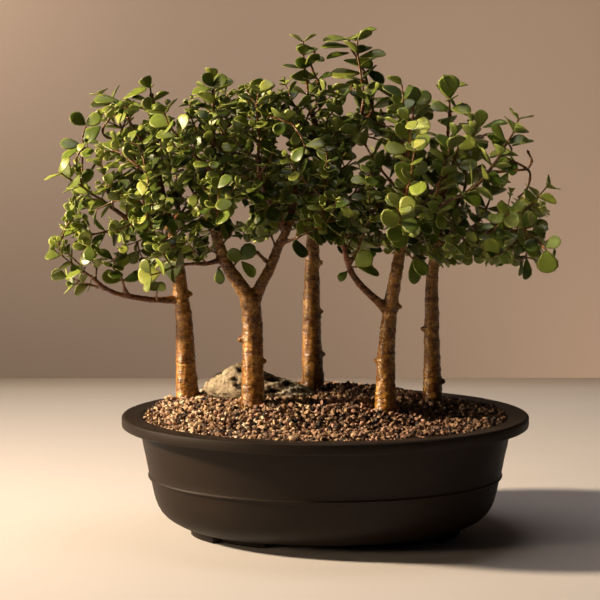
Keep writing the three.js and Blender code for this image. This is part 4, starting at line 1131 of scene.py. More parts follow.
def in_crown(point, spare=0.0):
    """Whether a point is inside the crown's outline from the front and its depth there."""
    x, z = face_plane(point)
    if not TOP_X[0] < x < TOP_X[-1] or not CROWN_ENDS[0] + spare < point[0] < CROWN_ENDS[1] - spare:
        return False
    if z > np.interp(x, TOP_X, TOP_Z) - spare or z < np.interp(x, LOW_X, LOW_Z) + spare:
        return False
    left, low, front, back = LOW_LEFT
    if point[0] < left and point[2] < low and not front < point[1] < back:
        return False
    left, front, low, end, slope = FRONT_RIGHT
    if point[0] > left and point[1] < front and point[2] > low + (end - point[0]) * slope:
        return False
    right, back, low = BACK_LEFT
    if point[0] < right and point[1] > back and point[2] < low:
        return False
    share = (point - CROWN_MIDDLE) / CROWN_HALF
    room_left = 1 - share[0] ** 2 - max(0.0, share[2]) ** 2
    wave = 0.92 + 0.24 * noise.noise(Vector(point) * 0.022)
    if abs(point[1] - CROWN_MIDDLE[1]) > CROWN_DEPTH * wave * math.sqrt(max(0.07, room_left)) - spare:
        return False
    return all(math.hypot(x - a, z - b) > r + WINDOW_RIM for a, b, r in WINDOWS)


def lay_leaf(root, long, look, length, width, **more):
    """A leaf from its root, with its upper side turned to look."""
    upper = unit(look - long * (look @ long))
    level = np.cross(upper, long)
    return dict(root=root, long=long, level=level, upper=upper, length=length, width=width, **more)


def grow_shoot(room, seed, base, start, pairs, size, thick, own, aim=None):
    """A side shoot with small leaves. It turns up and out of the crown, or towards its aim,
    and stops at the crown's outline. Gives a list that holds the shoot, or nothing if fewer
    than two leaves find room."""
    along = unit(start)
    across = turned(across_of(along), along, swing(seed) * math.pi)
    point = base
    stem, leaves, last = [base], [], 0
    for k in range(1, pairs + 1):
        outward = unit((point - CROWN_MIDDLE) / CROWN_HALF)
        if aim is None:
            pull = UP * FREE_RISE + outward * FREE_OUTWARD
        else:
            pull = unit(aim - point) * AIM_PULL + UP * AIM_RISE
        along = unit(along + swings(seed + 7 * k + 1, 3) * SHOOT_WANDER + pull)
        across = unit(across - along * (across @ along))
        over = np.cross(along, across)
        point = point + along * SHOOT_PITCH * some(*STEP_SHARE, seed + 7 * k + 4)
        if not in_crown(point, 2):
            break
        stem.append(point)
        for half in (0, 1):
            out = (over if k % 2 else across) * (1 - 2 * half)
            grown = size * some(*SMALL_SHARE, seed + 7 * k + 5 + half)
            grown *= LAST_SHARE if k == pairs else 1
            for attempt in range(SHOOT_TRIES):
                draws = seed + 1000 + k * 64 + half * 32 + attempt * 5
                length, loose = grown * (1 - SHOOT_SMALLER * attempt), 1 + attempt * SHOOT_LOOSER
                leaf = turn_leaf(draws, point, along, out, outward, length, loose)
                spots = leaf_spots(leaf, FEW_SPOTS, SMALL_SPOT)
                if in_crown(leaf["root"] + leaf["long"] * leaf["length"]) and room.clear(spots, own, 0):
                    room.take(spots, own)
                    leaves.append(dict(leaf, k=k, of=pairs))
                    last = k
                    break
    if len(leaves) < 2:
        return []
    if last > 1:
        leaves += bud_leaves(seed, stem[last], unit(stem[last] - stem[last - 1]), size * BUD_SHARE, last)
    return [dict(stem=stem[: last + 1], leaves=leaves, thick=thick, thin=SHOOT_TIP)]


def turn_leaf(seed, point, along, out, outward, length, loose):
    """A small leaf whose upper side looks up the stem, to the light and out of the crown."""
    spread = math.radians(SMALL_SPREAD + swing(seed) * SMALL_RANGE * loose)
    long = unit(around(along, out, spread) + np.cross(along, out) * swing(seed + 1) * SMALL_LOOSE * loose)
    look = along * LOOK_ALONG + UP * LOOK_UP + outward * LOOK_OUT + swings(seed + 2, 3) * SMALL_LOOSE * loose
    width = length * (SMALL_WIDTH + SMALL_WIDTH_RANGE * swing(seed + 1))
    return lay_leaf(point + out * 0.5, long, look, length, width)


def bud_leaves(seed, point, along, length, k):
    """The last pair of a shoot, still small and half shut."""
    across = turned(across_of(along), along, chance(seed + 900) * math.pi)
    return [lay_leaf(point + along * 1.2, unit(along + out * 0.55), -out, length, length * 0.8, k=k, of=k)
            for out in (across, -across)]


def grow_shoots(room, forest, sprays, shoots):
    """Side shoots from the axils and the tip of every spray, and from the leafy part of every
    limb."""
    for number, spray in enumerate(sprays):
        nodes, own, grown = spray["nodes"], "stem " + spray["name"], shoots[spray["tree"]]
        for k in range(1, len(nodes)):
            for half in (0, 2):
                seed = AXIL_DRAWS + number * 20000 + k * 2000 + half * 500
                way = out_of(nodes[k], k % 2 + half) * 0.85 + nodes[k]["along"] * 0.6 + UP * 0.12
                pairs = 1 + round(1.6 * chance(seed + 1) + 1.8 * (1 - k / len(nodes)))
                size = some(*AXIL_LEAF, seed + 2)
                grown += grow_shoot(room, seed, nodes[k]["point"], way, pairs, size, AXIL_THICK, own)
        top, seed = nodes[-1], TIP_DRAWS + number * 500
        grown += grow_shoot(room, seed, top["point"], top["along"], 2, TIP_LEAF, TIP_THICK, own)
    for tree, (name, limbs) in enumerate(forest.items()):
        for which, limb in enumerate(limbs):
            if limb.pairs == 0:
                continue
            first = limb.bare * (0.8 if which else 0.93)
            if first >= 0.8:  # a limb without spurs
                first = 0.3
            count = int(limb.length * (1 - first) / LIMB_SHOOT_PITCH)
            for i in range(count):
                seed = LIMB_DRAWS + tree * 200000 + which * 20000 + i * 600
                point, along, across, over, radius = limb.place(first + (1 - first) * (i + 0.5) / count)
                out = around(across, over, math.radians(i * GOLDEN_ANGLE + 40 * which))
                way = out * 0.85 + along * 0.4 + UP * 0.1
                pairs = 2 + round(2.4 * chance(seed + 1))
                size = some(*LIMB_LEAF, seed + 2)
                base = point + unit(way) * radius * 0.8
                shoots[name] += grow_shoot(room, seed, base, way, pairs, size, LIMB_THICK, "shoot")


def stem_anchors(stem, tree):
    """Where shoots can start on a stem: a point, the way the stem goes there, and the tree."""
    return [(stem[k], unit(stem[k] - stem[k - 1]), tree) for k in range(1, len(stem))]


def fill_crown(room, forest, sprays, shoots):
    """Long shoots from the nearest twig into each hollow that the crown still has."""
    anchors = []
    for spray in sprays:
        anchors += [(n["point"], n["along"], spray["tree"]) for n in spray["nodes"][1:]]
    for name, limbs in forest.items():
        for limb in limbs:
            start = max(limb.bare, 0.4)
            if limb.pairs and start < 1:
                anchors += [limb.place(start + (1 - start) * i / 6)[:2] + (name,) for i in range(1, 6)]
        for shoot in shoots[name]:
            anchors += stem_anchors(shoot["stem"], name)
    for lap in range(LAPS):
        spots = hollow_spots(room, lap)
        places = np.array([a[0] for a in anchors])
        gaps = np.linalg.norm(spots[:, None] - places[None], axis=2)
        for number in np.argsort(gaps.min(1)):
            spot, near = spots[number], gaps[number].argmin()
            far = gaps[number, near]
            if far > REACH or not room.clear([[*spot, HOLLOW]], "", 0):
                continue
            base, along, name = anchors[near]
            seed = HOLLOW_DRAWS + lap * 4000000 + int(number) * 500
            way = unit(spot - base) + along * 0.3
            pairs = min(LONGEST_SHOOT, max(2, round(far / SHOOT_PITCH) + 1))
            size, thick = some(*HOLLOW_LEAF, seed + 3), HOLLOW_THICK + PAIR_THICK * pairs
            for shoot in grow_shoot(room, seed, base, way, pairs, size, thick, "shoot", spot):
                shoots[name].append(shoot)
                anchors += stem_anchors(shoot["stem"], name)


def hollow_spots(room, lap):
    """Places in the crown, on a shaken grid, that have no leaf near."""
    low, high = CROWN_MIDDLE - CROWN_HALF, CROWN_MIDDLE + CROWN_HALF
    counts = ((high - low) / HOLLOW_PITCH).astype(int)
    found = []
    for number, cell in enumerate(np.ndindex(*counts[::-1])):
        shake = np.array([chance(GRID_DRAWS + lap * 100000 + number * 3 + k) for k in range(3)])
        spot = low + (cell[::-1] + shake) * HOLLOW_PITCH
        if in_crown(spot, 4) and room.clear([[*spot, HOLLOW]], "", 0):
            found.append(spot)
    return np.array(found)


def pose_twigs(room, forest, sprays, shoots):
    """The twigs of the POSED list, each led in from the nearest wood of its tree."""
    for tree, thick, thin, path, blades in POSED:
        path = [np.array(p, float) for p in path]
        places = [limb.place(i / 20)[0] for limb in forest[tree] for i in range(21)]
        places += [n["point"] for s in sprays if s["tree"] == tree for n in s["nodes"]]
        near = min(places, key=lambda p: np.linalg.norm(p - path[0]))
        if np.linalg.norm(near - path[0]) > 1:
            path.insert(0, near)
        leaves = []
        for k, (root, tip, look, share) in enumerate(blades):
            root, tip, look = [np.array(v, float) for v in (root, tip, look)]
            length = float(np.linalg.norm(tip - root))
            leaves.append(lay_leaf(root, unit(tip - root), look, length, length * share, k=k, of=8))
            room.take(leaf_spots(leaves[-1], FEW_SPOTS, SMALL_SPOT), "posed")
        shoots[tree].append(dict(stem=path, leaves=leaves, thick=thick, thin=thin))


# The kinds of leaf: how far the margins are lifted, and how far the tip is bent down, in mm.
LEAF_KINDS = [("leaf_flat", 0.6, 0.5), ("leaf_cupped", 1.6, 0.2), ("leaf_arched", 0.8, 1.6)]
# A leaf's blade from the root to the tip: the share along it, half its width, half its thickness.
BLADE = [
    (0.0, 0.0, 0.0), (0.07, 0.10, 0.42), (0.28, 0.31, 0.5), (0.52, 0.47, 0.52), (0.76, 0.475, 0.46),
    (0.92, 0.31, 0.34), (0.985, 0.13, 0.22), (1.0, 0.0, 0.0),
]


def shape_leaf(name, cup, arch):
    """One leaf, a unit long and wide and 1 mm thick: a ball drawn out ring by ring into a
    thick blade that is widest past its middle, with a blunt tip and a narrow root. cup lifts
    its margins, and arch bends its tip down."""
    deselect()
    rings = len(BLADE) - 1
    bpy.ops.mesh.primitive_uv_sphere_add(segments=8, ring_count=rings, radius=1, location=(0, 0, 0))
    leaf = bpy.context.object
    bpy.ops.object.mode_set(mode="EDIT")
    bpy.ops.mesh.select_all(action="SELECT")
    bpy.ops.transform.rotate(value=math.pi / 2, orient_axis="Y", center_override=(0, 0, 0))
    bpy.ops.object.mode_set(mode="OBJECT")
    shape = corners_of(leaf)
    ring = np.round(np.arccos(np.clip(-shape[:, 0], -1, 1)) / math.pi * rings).astype(int)
    moved = np.zeros_like(shape)
    for k, (share, half_width, half_thick) in enumerate(BLADE):
        own = ring == k
        size = math.sin(k * math.pi / rings) or 1
        moved[own, 0] = share
        moved[own, 1] = shape[own, 1] / size * half_width
        moved[own, 2] = shape[own, 2] / size * half_thick
    lift = cup * (moved[:, 1] / 0.5) ** 2 - arch * moved[:, 0] ** 2
    mark(leaf, "margin", np.abs(moved[:, 2]) < 0.05)
    mark(leaf, "under", moved[:, 2] < -0.05)
    # flatter above than below, and lifted to lie on its stem
    moved[:, 2] = np.where(moved[:, 2] > 0, moved[:, 2] * 0.85, moved[:, 2]) + lift + 0.45
    move_corners(leaf, moved)
    leaf.name = name
    return leaf


def leaf_copy(leaf, share, seed, youth_and_painted_light):
    """A leaf as a copy for strewing, in millimetres."""
    length, width = leaf["length"] * share, leaf["width"] * share
    thick = 1.15 * (0.75 + 0.25 * length / LEAF_LENGTH)  # small leaves are nearly as thick
    turn = np.column_stack([leaf["long"] * length, leaf["level"] * width, leaf["upper"] * thick])
    marks = {"tone": chance(seed + 1) * 0.75, "youth_and_painted_light": youth_and_painted_light}
    return one_of(len(LEAF_KINDS), seed), turn, leaf["root"], marks


def youth_and_painted_light_of(point, k, of, seed):
    """How young a leaf looks: more towards a shoot's tip, the crown's rim, the top of the low
    right branch with its new growth and painted light, and chance; less under that branch,
    as painted shade."""
    rim = np.linalg.norm((point - CROWN_MIDDLE) / CROWN_HALF)
    x, _, z = point
    (low, rise), (high, fall) = BRANCH_LIT_LOW, BRANCH_LIT_HIGH
    top = np.clip((z - low) / rise, 0, 1) * np.clip((high - z) / fall, 0, 1)
    # painted light on the top of the low right branch, and painted shade under it
    fresh_and_painted_light = 0.36 * np.clip((x - BRANCH_FROM) / BRANCH_WAY, 0, 1) * top
    fresh_and_painted_light -= 0.2 * float(x > BRANCH_FROM and z < BRANCH_SHADE_UNDER)
    youth_and_painted_light = 0.38 * (k / of) ** 2 + 0.5 * (rim - 0.8) + fresh_and_painted_light + 0.5 * (chance(seed + 5) - 0.6)
    return float(np.clip(youth_and_painted_light, 0, 1))


# A twig's radius at its nodes and between them, as shares, and where the points between are.
TWIG_NODE, TWIG_BETWEEN = 1.2, 0.88
TWIG_STEPS = (0.26, 0.52, 0.78)
TWIG_END, TWIG_POINT = 1.1, 0.45  # how far its end goes on past the last node, and how thin
SPRAY_THICK, SPRAY_THIN = 1.25, 0.6


def swollen(points, thick, thin):
    """A stem that curves through its nodes, a little swollen at each."""
    points = [np.array(p, float) for p in points]
    last = len(points) - 1
    ways = [points[min(k + 1, last)] - points[max(k - 1, 0)] for k in range(last + 1)]
    ways = [way * (0.5 if 0 < k < last else 1.0) for k, way in enumerate(ways)]
    stem = [(points[0], thick * TWIG_NODE)]
    for k in range(1, last + 1):
        radius = thick + (thin - thick) * k / last
        for t in TWIG_STEPS:
            at = (points[k - 1] * (2 * t ** 3 - 3 * t ** 2 + 1) + points[k] * (3 * t ** 2 - 2 * t ** 3)
                  + ways[k - 1] * (t ** 3 - 2 * t ** 2 + t) + ways[k] * (t ** 3 - t ** 2))
            stem.append((at, radius * TWIG_BETWEEN))
        stem.append((points[k], radius * TWIG_NODE))
    end = stem[-1][0]
    stem.append((end + unit(end - stem[-2][0]) * TWIG_END, thin * TWIG_POINT))
    return stem


def dress_tree(name, sprays, shoots, patterns, leaf_material, bark_material):
    """One tree's leaves and one tree's green twigs, as two pieces."""
    copies, stems = [], []
    own = [s for s in sprays if s["tree"] == name]
    for spray in own:
        nodes = spray["nodes"]
        stems.append(swollen([n["point"] for n in nodes], SPRAY_THICK, SPRAY_THIN))
        for leaf in spray["leaves"]:
            seed = spray["seed"] + 7000 + leaf["k"] * 10 + leaf["face"]
            youth_and_painted_light = youth_and_painted_light_of(leaf["root"], leaf["k"], len(nodes), seed)
            copies.append(leaf_copy(leaf, LEAF_SHARE, seed, youth_and_painted_light))
    for number, shoot in enumerate(shoots[name]):
        stems.append(swollen(shoot["stem"], shoot["thick"], shoot["thin"]))
        for i, leaf in enumerate(shoot["leaves"]):
            seed = SHOOT_LEAF_DRAWS + number * 40 + i
            copies.append(leaf_copy(leaf, 1, seed, youth_and_painted_light_of(leaf["root"], leaf["k"], leaf["of"], seed)))
    leaves = strew(name + "_leaves", patterns, copies, smooth=True)
    settle(leaves, name + "_leaves", leaf_material)
    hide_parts(*[s["name"] for s in own])
    twigs = draw_stems(name + "_twigs", stems, 1)
    for key in ("age", "ring"):
        mark(twigs, key, np.zeros(len(twigs.data.vertices)))
    settle(twigs, name + "_twigs", bark_material, smooth=60)


# ---------------------------------------------------------------- wood


def ring_places(seed, length, radius):
    """Where a limb's old nodes are, along its length."""
    found, at = [], 3.0
    while at < length:
        found.append(at)
        at += (5.6 + 0.75 * radius) * (0.6 + 0.9 * chance(seed + len(found)))
    return np.array(found or [length])


def grow_wood(name, limbs, knots, number, material):
    """One tree's wood: its limbs as tubes and its knots, merged into one skin, then worked
    over with the rings and scars of its old nodes."""
    stems, rows = [], []
    for which, limb in enumerate(limbs):
        steps = math.ceil(limb.length / WOOD_STEP)
        limb.nodes = ring_places(number * 9000 + which * 300, limb.length, limb.thick)
        stem = []
        for i in range(steps + 1):
            point, along, _, _, radius = limb.place(i / steps)
            far = limb.length * i / steps
            if which == 0:
                radius *= 1 + (TRUNK_FLARE - 1) * math.exp(-far / FLARE_HEIGHT)
            else:
                radius *= 1 + LIMB_FLARE * math.exp(-((far / LIMB_FLARE_LENGTH) ** 2))
            stem.append((point, radius))
            rows.append([*point, *along, radius, far, which])
        if which == 0:
            point, radius = stem[0]
            stem.insert(0, (point - UP * ROOT_DEPTH, radius * 0.75))
        stems.append(stem)
        stems += [[(start, SPUR_RADIUS * 1.5), (end, SPUR_RADIUS * 0.9)] for start, _, end in limb.spurs]
    wood = draw_stems(name + "_trunk_and_limbs", stems, 4)
    stubs = []
    for share, degrees, radius in knots:
        point, _, across, over, thick = limbs[0].place(share)
        out = around(across, over, math.radians(degrees))
        deselect()
        bpy.ops.mesh.primitive_cone_add(
            vertices=16, radius1=radius * 1.25 * MM, radius2=radius * 0.72 * MM, depth=radius * 2.1 * MM,
            location=placed(point + out * (thick + radius * 0.25)),
            rotation=Vector(out).to_track_quat("Z", "Y").to_euler(),
        )
        stubs.append(bpy.context.object)
    hold(wood, *stubs)
    bpy.ops.object.join()
    modify(wood, "REMESH", mode="VOXEL", voxel_size=WOOD_GRAIN * MM)
    modify(wood, "SMOOTH", factor=0.5, iterations=5)
    work_bark(wood, limbs, np.array(rows), number)
    settle(wood, name + "_trunk_and_limbs", material, smooth=180)
    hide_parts(name + "_wood")


def hill(off, half):
    """A bell curve, 1 high and half wide to each side."""
    return np.exp(-((off / half) ** 2))


def work_bark(wood, limbs, rows, number):
    """Raises rings, leaf scars and lumps on the wood, and marks its age and its rings. Each
    old node is a ridge on a wide swelling, with a groove over it and a scar at two sides."""
    points = corners_of(wood)
    normals = np.empty(len(points) * 3, np.float32)
    wood.data.vertex_normals.foreach_get("vector", normals)
    normals = normals.reshape(-1, 3).astype(float)
    local = (points - np.array(MIDDLE)) / MM
    # The nearest place on the limbs' paths says how thick the wood is and how far along it.
    gap = np.linalg.norm(local[:, None, :] - rows[None, :, :3], axis=2) - rows[None, :, 6]
    row = rows[gap.argmin(1)]
    radius, far, which = row[:, 6], row[:, 7].copy(), row[:, 8].astype(int)
    far += ((local - row[:, :3]) * row[:, 3:6]).sum(1)
    out = local - row[:, :3]
    out -= row[:, 3:6] * (out * row[:, 3:6]).sum(1)[:, None]
    out /= np.linalg.norm(out, axis=1)[:, None] + 1e-9
    coarse, lumps, fine = [
        np.array([noise.noise(Vector(p) * often + Vector(shift)) for p in local])
        for often, shift in ((0.17, (0, 0, 0)), (0.42, (9, 3, 5)), (1.1, (1, 8, 2)))
    ]
    far += 1.1 * coarse
    height = np.zeros(len(points))
    ring = np.zeros(len(points))
    for w, limb in enumerate(limbs):
        own = which == w
        if not own.any():
            continue
        gaps = far[own][:, None] - limb.nodes[None, :]
        best = np.abs(gaps).argmin(1)
        off = gaps[np.arange(len(best)), best]
        thick = radius[own]
        ridge = hill(off, 0.7) * (0.1 + 0.016 * thick) + hill(off, 2.4) * 0.03 * thick
        groove = hill(off - 1.3, 0.5) * (0.06 + 0.012 * thick)
        height[own] = (ridge - groove) * np.clip(0.7 + 1.3 * lumps[own], 0.0, 1.6)
        # Two leaf scars face each other at a node, each node's at its own turn round the limb.
        turn = np.array([chance(number * 700 + w * 50 + n) * TURN for n in range(len(limb.nodes))])[best]
        facing = np.abs(out[own, 0] * np.cos(turn) + out[own, 1] * np.sin(turn))
        scar = np.exp(-(1 - facing) / 0.04) * hill(off, 1.1) * np.clip(1.3 - thick / 6, 0.2, 1)
        height[own] += scar * 0.3
        # The ring's dark line lies over the ridge, broken by the lumps.
        ring[own] = np.clip(hill(off - 1.0, 0.6) * (0.3 + 1.2 * lumps[own]) + 0.3 * scar, 0, 0.8)
    # Lumps and fine roughness, and slow bulges that grow with the limb.
    height += (lumps * 0.05 + fine * 0.022) * np.clip(radius, 1.5, 6) + coarse * 0.06 * radius
    height[local[:, 2] < BURIED_BELOW] = 0
    move_corners(wood, points + normals * height[:, None] * MM)
    mark(wood, "age", np.clip((radius - 1.3) / 4.6, 0, 1) * 0.88 + 0.12)
    mark(wood, "ring", ring)


# ---------------------------------------------------------------- ground


def mound_at(x, y):
    """How high the gravel lies."""
    far = ((x - MOUND[0]) / MOUND[2]) ** 2 + ((y - MOUND[1]) / MOUND[3]) ** 2
    rise = max(0.0, 1 - far)
    return GRAVEL_EDGE + GRAVEL_CROWN * rise * (2 - rise)


def break_grit(number):
    """One angular grain, a unit across: a coarse ball with its corners knocked about."""
    deselect()
    bpy.ops.mesh.primitive_ico_sphere_add(subdivisions=1, radius=0.5, location=(0, 0, 0))
    grain = bpy.context.object
    shape = corners_of(grain)
    knocks = np.array([swings(8800 + number * 997 + i * 3, 3) for i in range(len(shape))])
    move_corners(grain, shape * (0.82 + 0.5 * (knocks[:, :1] + 0.5)) + knocks * 0.22)
    grain.name = f"grain_{number}"
    return grain


def lay_gravel(material):
    """The top dressing: a bed painted dark as the shade between the grains, with a skin of loose grit over
    it, to the pot's wall.
    """
    patterns = [break_grit(n) for n in range(GRIT_KINDS)]
    trunks = [(limbs[0][6][0], limbs[0][0] * TRUNK_FLARE + TRUNK_SPARE) for limbs, _ in TREES.values()]
    copies, count, reach = [], 0, GRAVEL_REACH + 0.3
    rows = int(GRAVEL_REACH * 2 / (GRIT_PITCH * ROW_SHARE)) + 2
    for layer in range(2):
        for j in range(-rows // 2, rows // 2 + 1):
            for i in range(-rows // 2, rows // 2 + 1):
                count += 1
                seed = 40000 + count * 17
                if layer and chance(seed) > SECOND_LAYER:
                    continue
                x = (i + (j % 2) / 2 + swing(seed + 1) * GRIT_SHAKE) * GRIT_PITCH
                y = (j + swing(seed + 2) * GRIT_SHAKE) * GRIT_PITCH * ROW_SHARE
                if (x / reach) ** 2 + (y / (reach - OVAL_DIFFERENCE)) ** 2 > 1:
                    continue
                if any(math.hypot(x - p[0], y - p[1]) < radius for p, radius in trunks):
                    continue
                # no grain inside the rock, and none of the second layer close round it
                u, v = (x - ROCK_AT[0]) / (ROCK_HALF[0] - 2), (y - ROCK_AT[1]) / (ROCK_HALF[1] - 1.5)
                if u * u + v * v < 0.9 or layer and math.hypot(u, v) < 1.35:
                    continue
                size = GRIT_SIZE * (GRAIN_SHARE[0] + GRAIN_SHARE[1] * chance(seed + 3) ** SMALLER_MORE_OFTEN)
                flat = np.array([1, some(*GRAIN_WIDTH, seed + 8), some(*GRAIN_THICK, seed + 9)])
                spin, tilt = swing(seed + 4) * TURN, swing(seed + 5) * TURN
                turn = Matrix.Rotation(spin, 3, "Z") @ Matrix.Rotation(tilt, 3, "X")
                z = mound_at(x, y) + GRIT_FLOAT + layer * LAYER_RISE + swing(seed + 10) * FLOAT_RANGE
                # painted shade: each grain's tone is darkened towards the right
                shade = PAINTED_SHADE_DEPTH * min(1.0, max(0.0, (x - PAINTED_SHADE_FROM) / PAINTED_SHADE_WAY))
                marks = {"grain": chance(seed + 12) * (1 - shade)}
                shape = np.array(turn) * flat[None, :] * size
                copies.append((one_of(GRIT_KINDS, seed + 11), shape, np.array([x, y, z]), marks))
    gravel = strew("gravel_grit", patterns, copies, smooth=False)
    for pattern in patterns:
        bpy.data.objects.remove(pattern)
    bed = lay_bed()
    # painted shade: the bed takes a near-black grit tone, seen in the gaps between grains
    mark(bed, "grain", np.full(len(bed.data.vertices), BED_SHADE_TONE))
    hold(gravel, bed)
    bpy.ops.object.join()
    settle(gravel, "gravel_grit", material)
    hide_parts("gravel")


def lay_bed():
    """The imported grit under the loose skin: a shallow closed slab from the soil up."""
    edge = GRAVEL_REACH - 2
    stretch = (edge / GRAVEL_REACH, (edge - OVAL_DIFFERENCE) / GRAVEL_REACH, 1)
    bed = start_oval(BED_SIDES, GRAVEL_REACH, stretch, BED_UNDER)
    bpy.ops.mesh.extrude_region_move(TRANSFORM_OT_translate={"value": (0, 0, BED_HEIGHT * MM)})
    for _ in range(BED_LAPS):
        bpy.ops.mesh.inset(thickness=LAP_WIDTH * MM)
    face_out()
    put_down(bed)
    points = corners_of(bed)
    for p in points:
        if p[2] > (BED_UNDER + BED_HEIGHT / 2) * MM:
            x, y = (p[0] - MIDDLE.x) / MM, (p[1] - MIDDLE.y) / MM
            p[2] = (mound_at(x, y) - 1.0) * MM
    move_corners(bed, points)
    return bed


def weather_rock(material):
    """The rock: a ball drawn into a low ridge with worn faces, a knob at its peak, and a few
    hollows and cracks where it has weathered out."""
    deselect()
    bpy.ops.mesh.primitive_ico_sphere_add(subdivisions=6, radius=1, location=(0, 0, 0))
    rock = bpy.context.object
    shape = corners_of(rock)
    turn = Matrix.Rotation(math.radians(ROCK_TURN), 3, "Z") @ Matrix.Rotation(math.radians(ROCK_TILT), 3, "Y")
    half, turn, middle = np.array(ROCK_HALF), np.array(turn), np.array(ROCK_AT)
    moved = np.empty_like(shape)
    hollow = np.zeros(len(shape))
    for i, p in enumerate(shape):
        v = Vector(p)
        peak = math.exp(-(((p[0] - ROCK_PEAK) * 2) ** 2))
        height = 0.55 + 0.5 * peak if p[2] > 0 else 0.45
        body = np.array([p[0], p[1], p[2] * height]) * half
        at = Vector(body)
        # Broad faces and facets go round the ball. Pits and roughness are of one size all over,
        # and seams run slanting through it.
        broad = noise.noise(v * 1.5 + Vector((3, 1, 7)))
        facet = noise.noise(v * 3.4 + Vector((1, 6, 2)))
        pits = noise.noise(at * 0.5)
        rough = noise.noise(at * 1.1)
        seam = noise.noise(Vector((at.x * 0.04 + at.z * 0.06, at.y * 0.07, at.z * 0.2 + at.x * 0.06)))
        seam = max(0.0, 1 - abs(seam * 3) - 0.72) / 0.28
        worn = broad * 2.0 + facet * 1.6 + pits * 0.7 + rough * 0.45 - seam * 1.1
        body = (body + np.array(v) * worn) @ turn.T + middle
        # how dark the dirt and painted shade in the cracks and hollows get
        deep = seam * 0.45  # how dark it gets here
        for place, size, depth in ROCK_HOLLOWS:
            gap = np.linalg.norm((body - np.array(place)) / np.array(size))
            dent = math.exp(-((gap * (1 + 0.25 * pits)) ** 4))
            body = body - np.array(v) * dent * depth
            deep += dent
        moved[i] = body
        hollow[i] = min(1.0, max(0.0, deep - pits * 0.3 - rough * 0.2))
    move_corners(rock, placed(moved))
    # hollow: dirt and painted shade; low_end: where the lichen is painted paler, also as painted light
    mark(rock, "hollow", hollow)
    mark(rock, "low_end", np.clip((shape[:, 0] - 0.2) * 1.8, 0, 1))
    mark(rock, "foot", np.clip((92 - moved[:, 2]) / 8, 0, 1) * np.clip(1 - (shape[:, 0] + 0.1) * 2.5, 0, 1))
    settle(rock, "weathered_rock", material, smooth=180)
    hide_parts("rock")


# ---------------------------------------------------------------- the planting

leaf_material, bark_material = leaf_finish(), bark_finish()
mould_pot()
soil, screen = soil_finish(), screen_finish()
for node, made in (("potting_soil", soil), ("drain_screen_left", screen), ("drain_screen_right", screen)):
    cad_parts[node].data.materials.clear()
    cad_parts[node].data.materials.append(made)
lay_gravel(grit_finish())
weather_rock(rock_finish())

forest = {name: [Limb(*limb) for limb in limbs] for name, (limbs, _) in TREES.items()}
room = Room()
for limbs in forest.values():
    take_wood(room, limbs)
sprays = grow_sprays(room, forest)
set_leaves(room, sprays)
shoots = {name: [] for name in forest}
pose_twigs(room, forest, sprays, shoots)
grow_shoots(room, forest, sprays, shoots)
fill_crown(room, forest, sprays, shoots)
patterns = [shape_leaf(*kind) for kind in LEAF_KINDS]
for number, (name, limbs) in enumerate(forest.items()):
    dress_tree(name, sprays, shoots, patterns, leaf_material, bark_material)
    grow_wood(name, limbs, TREES[name][1], number, bark_material)
for pattern in patterns:
    bpy.data.objects.remove(pattern)

# ---------------------------------------------------------------- the room


def paper_finish():
    """Matt white studio paper, with painted shade that darkens it a little towards the table's far edge."""
    made, add = finish("studio_paper")
    place = add("TexCoord")["Object"]
    back = add("SeparateXYZ", {"Vector": place})["Y"]
    # painted shade: the paper darkens over the last part before the far edge
    share = add("MapRange", {"Value": back, "From Min": 0.46, "From Max": TABLE_BACK})[0]
    shade = add("ValToRGB", {"Fac": share}, [(0.0, "#bfbbba"), (0.55, "#bab3ae"), (1.0, "#a09489")])["Color"]
    shader = add("BsdfPrincipled", {"Base Color": shade, "Roughness": 0.9, "Specular IOR Level": 0.1})
    add("OutputMaterial", {"Surface": shader["BSDF"]})
    return made


def wall_finish():
    """Matt warm grey wall paint."""
    made, add = finish("wall_paint")
    shader = add("BsdfPrincipled", {
        "Base Color": colour("#cbbcaf"), "Roughness": 0.9, "Specular IOR Level": 0.1,
    })
    add("OutputMaterial", {"Surface": shader["BSDF"]})
    return made


def lay_sheet(name, profile, half_width, material):
    """A stage sheet: a row of (y, z) points drawn out sideways."""
    points = [(x, y, z) for y, z in profile for x in (-half_width, half_width)]
    faces = [(2 * i, 2 * i + 1, 2 * i + 3, 2 * i + 2) for i in range(len(profile) - 1)]
    sheet = link_mesh(name, points, faces)
    sheet.data.materials.append(material)


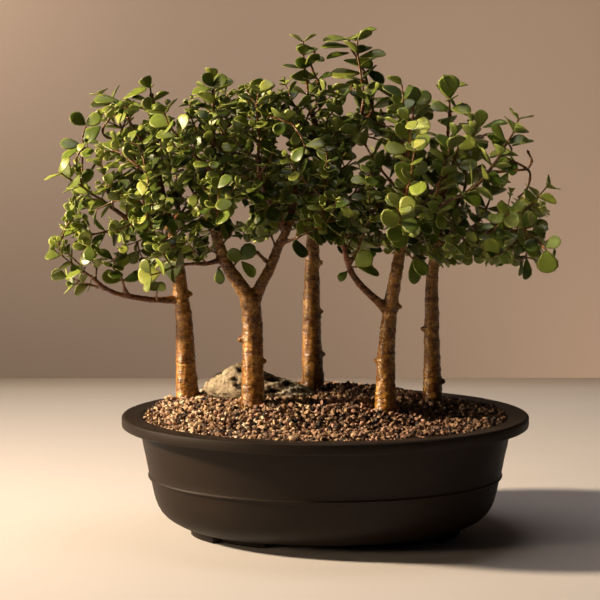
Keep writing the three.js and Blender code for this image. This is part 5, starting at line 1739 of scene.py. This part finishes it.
def hang_light(name, place, aim, size, power, shade, spread=180):
    """A square lamp in the room, with the angle over which it spreads its light."""
    lamp = bpy.data.lights.new(name, "AREA")
    lamp.spread = math.radians(spread)
    lamp.size = size
    lamp.energy = power
    lamp.color = colour(shade)[:3]
    hung = link(name, lamp)
    hung.location = place
    hung.rotation_euler = (Vector(aim) - Vector(place)).to_track_quat("-Z", "Y").to_euler()


lay_sheet("studio_table", [(-6.0, 0.0), (TABLE_BACK, 0.0), (TABLE_BACK, -0.9)], 6.0, paper_finish())
lay_sheet("studio_wall", [(1.9, -1.0), (1.9, 2.6)], 3.2, wall_finish())
# A warm key from the left with a weak one under it, a wide one overhead, a narrow one on the
# low right branch, and three on the wall: place, aim, size, watts, colour, spread.
hang_light("key_light", (-1.396, -0.079, 0.751), (0.05, 0.05, 0.0), 0.14, 7.8, "#ffe6c4", 60)
hang_light("low_light", (-1.25, -0.5, 0.3), (-0.02, 0, 0.14), 0.18, 0.6, "#ffdfb6", 55)
hang_light("overhead_light", (0.0, 0.2, 1.6), (0, 0.1, 0.1), 0.7, 7.2, "#fcefe8")
hang_light("branch_light", (-0.5, -0.85, 0.95), (0.19, 0.0, 0.215), 0.1, 0.055, "#ffecc8", 8)
hang_light("wall_light", (0.35, 1.0, 0.5), (0.3, 1.9, -0.15), 0.5, 3.8, "#ffe2c6")
hang_light("high_wall_light", (-0.8, 1.35, 0.7), (-0.8, 1.9, 0.3), 0.4, 4.3, "#ffe6cc")
hang_light("low_wall_light", (0.7, 1.35, -0.35), (0.7, 1.9, -0.25), 0.4, 1.7, "#ffe2c6")
world = bpy.data.worlds.new("studio")
world.use_nodes = True
world.node_tree.nodes["Background"].inputs["Color"].default_value = colour("#d8d4d6")
world.node_tree.nodes["Background"].inputs["Strength"].default_value = 0.018
bpy.context.scene.world = world
bpy.context.scene.view_settings.view_transform = "Standard"

camera = link("camera", bpy.data.cameras.new("camera"))
camera.data.lens = LENS
camera.data.sensor_width = 36
camera.location = placed(CAMERA_AT)
camera.rotation_euler = (math.radians(90 - CAMERA_PITCH), 0, math.radians(-CAMERA_YAW))
bpy.context.scene.camera = camera
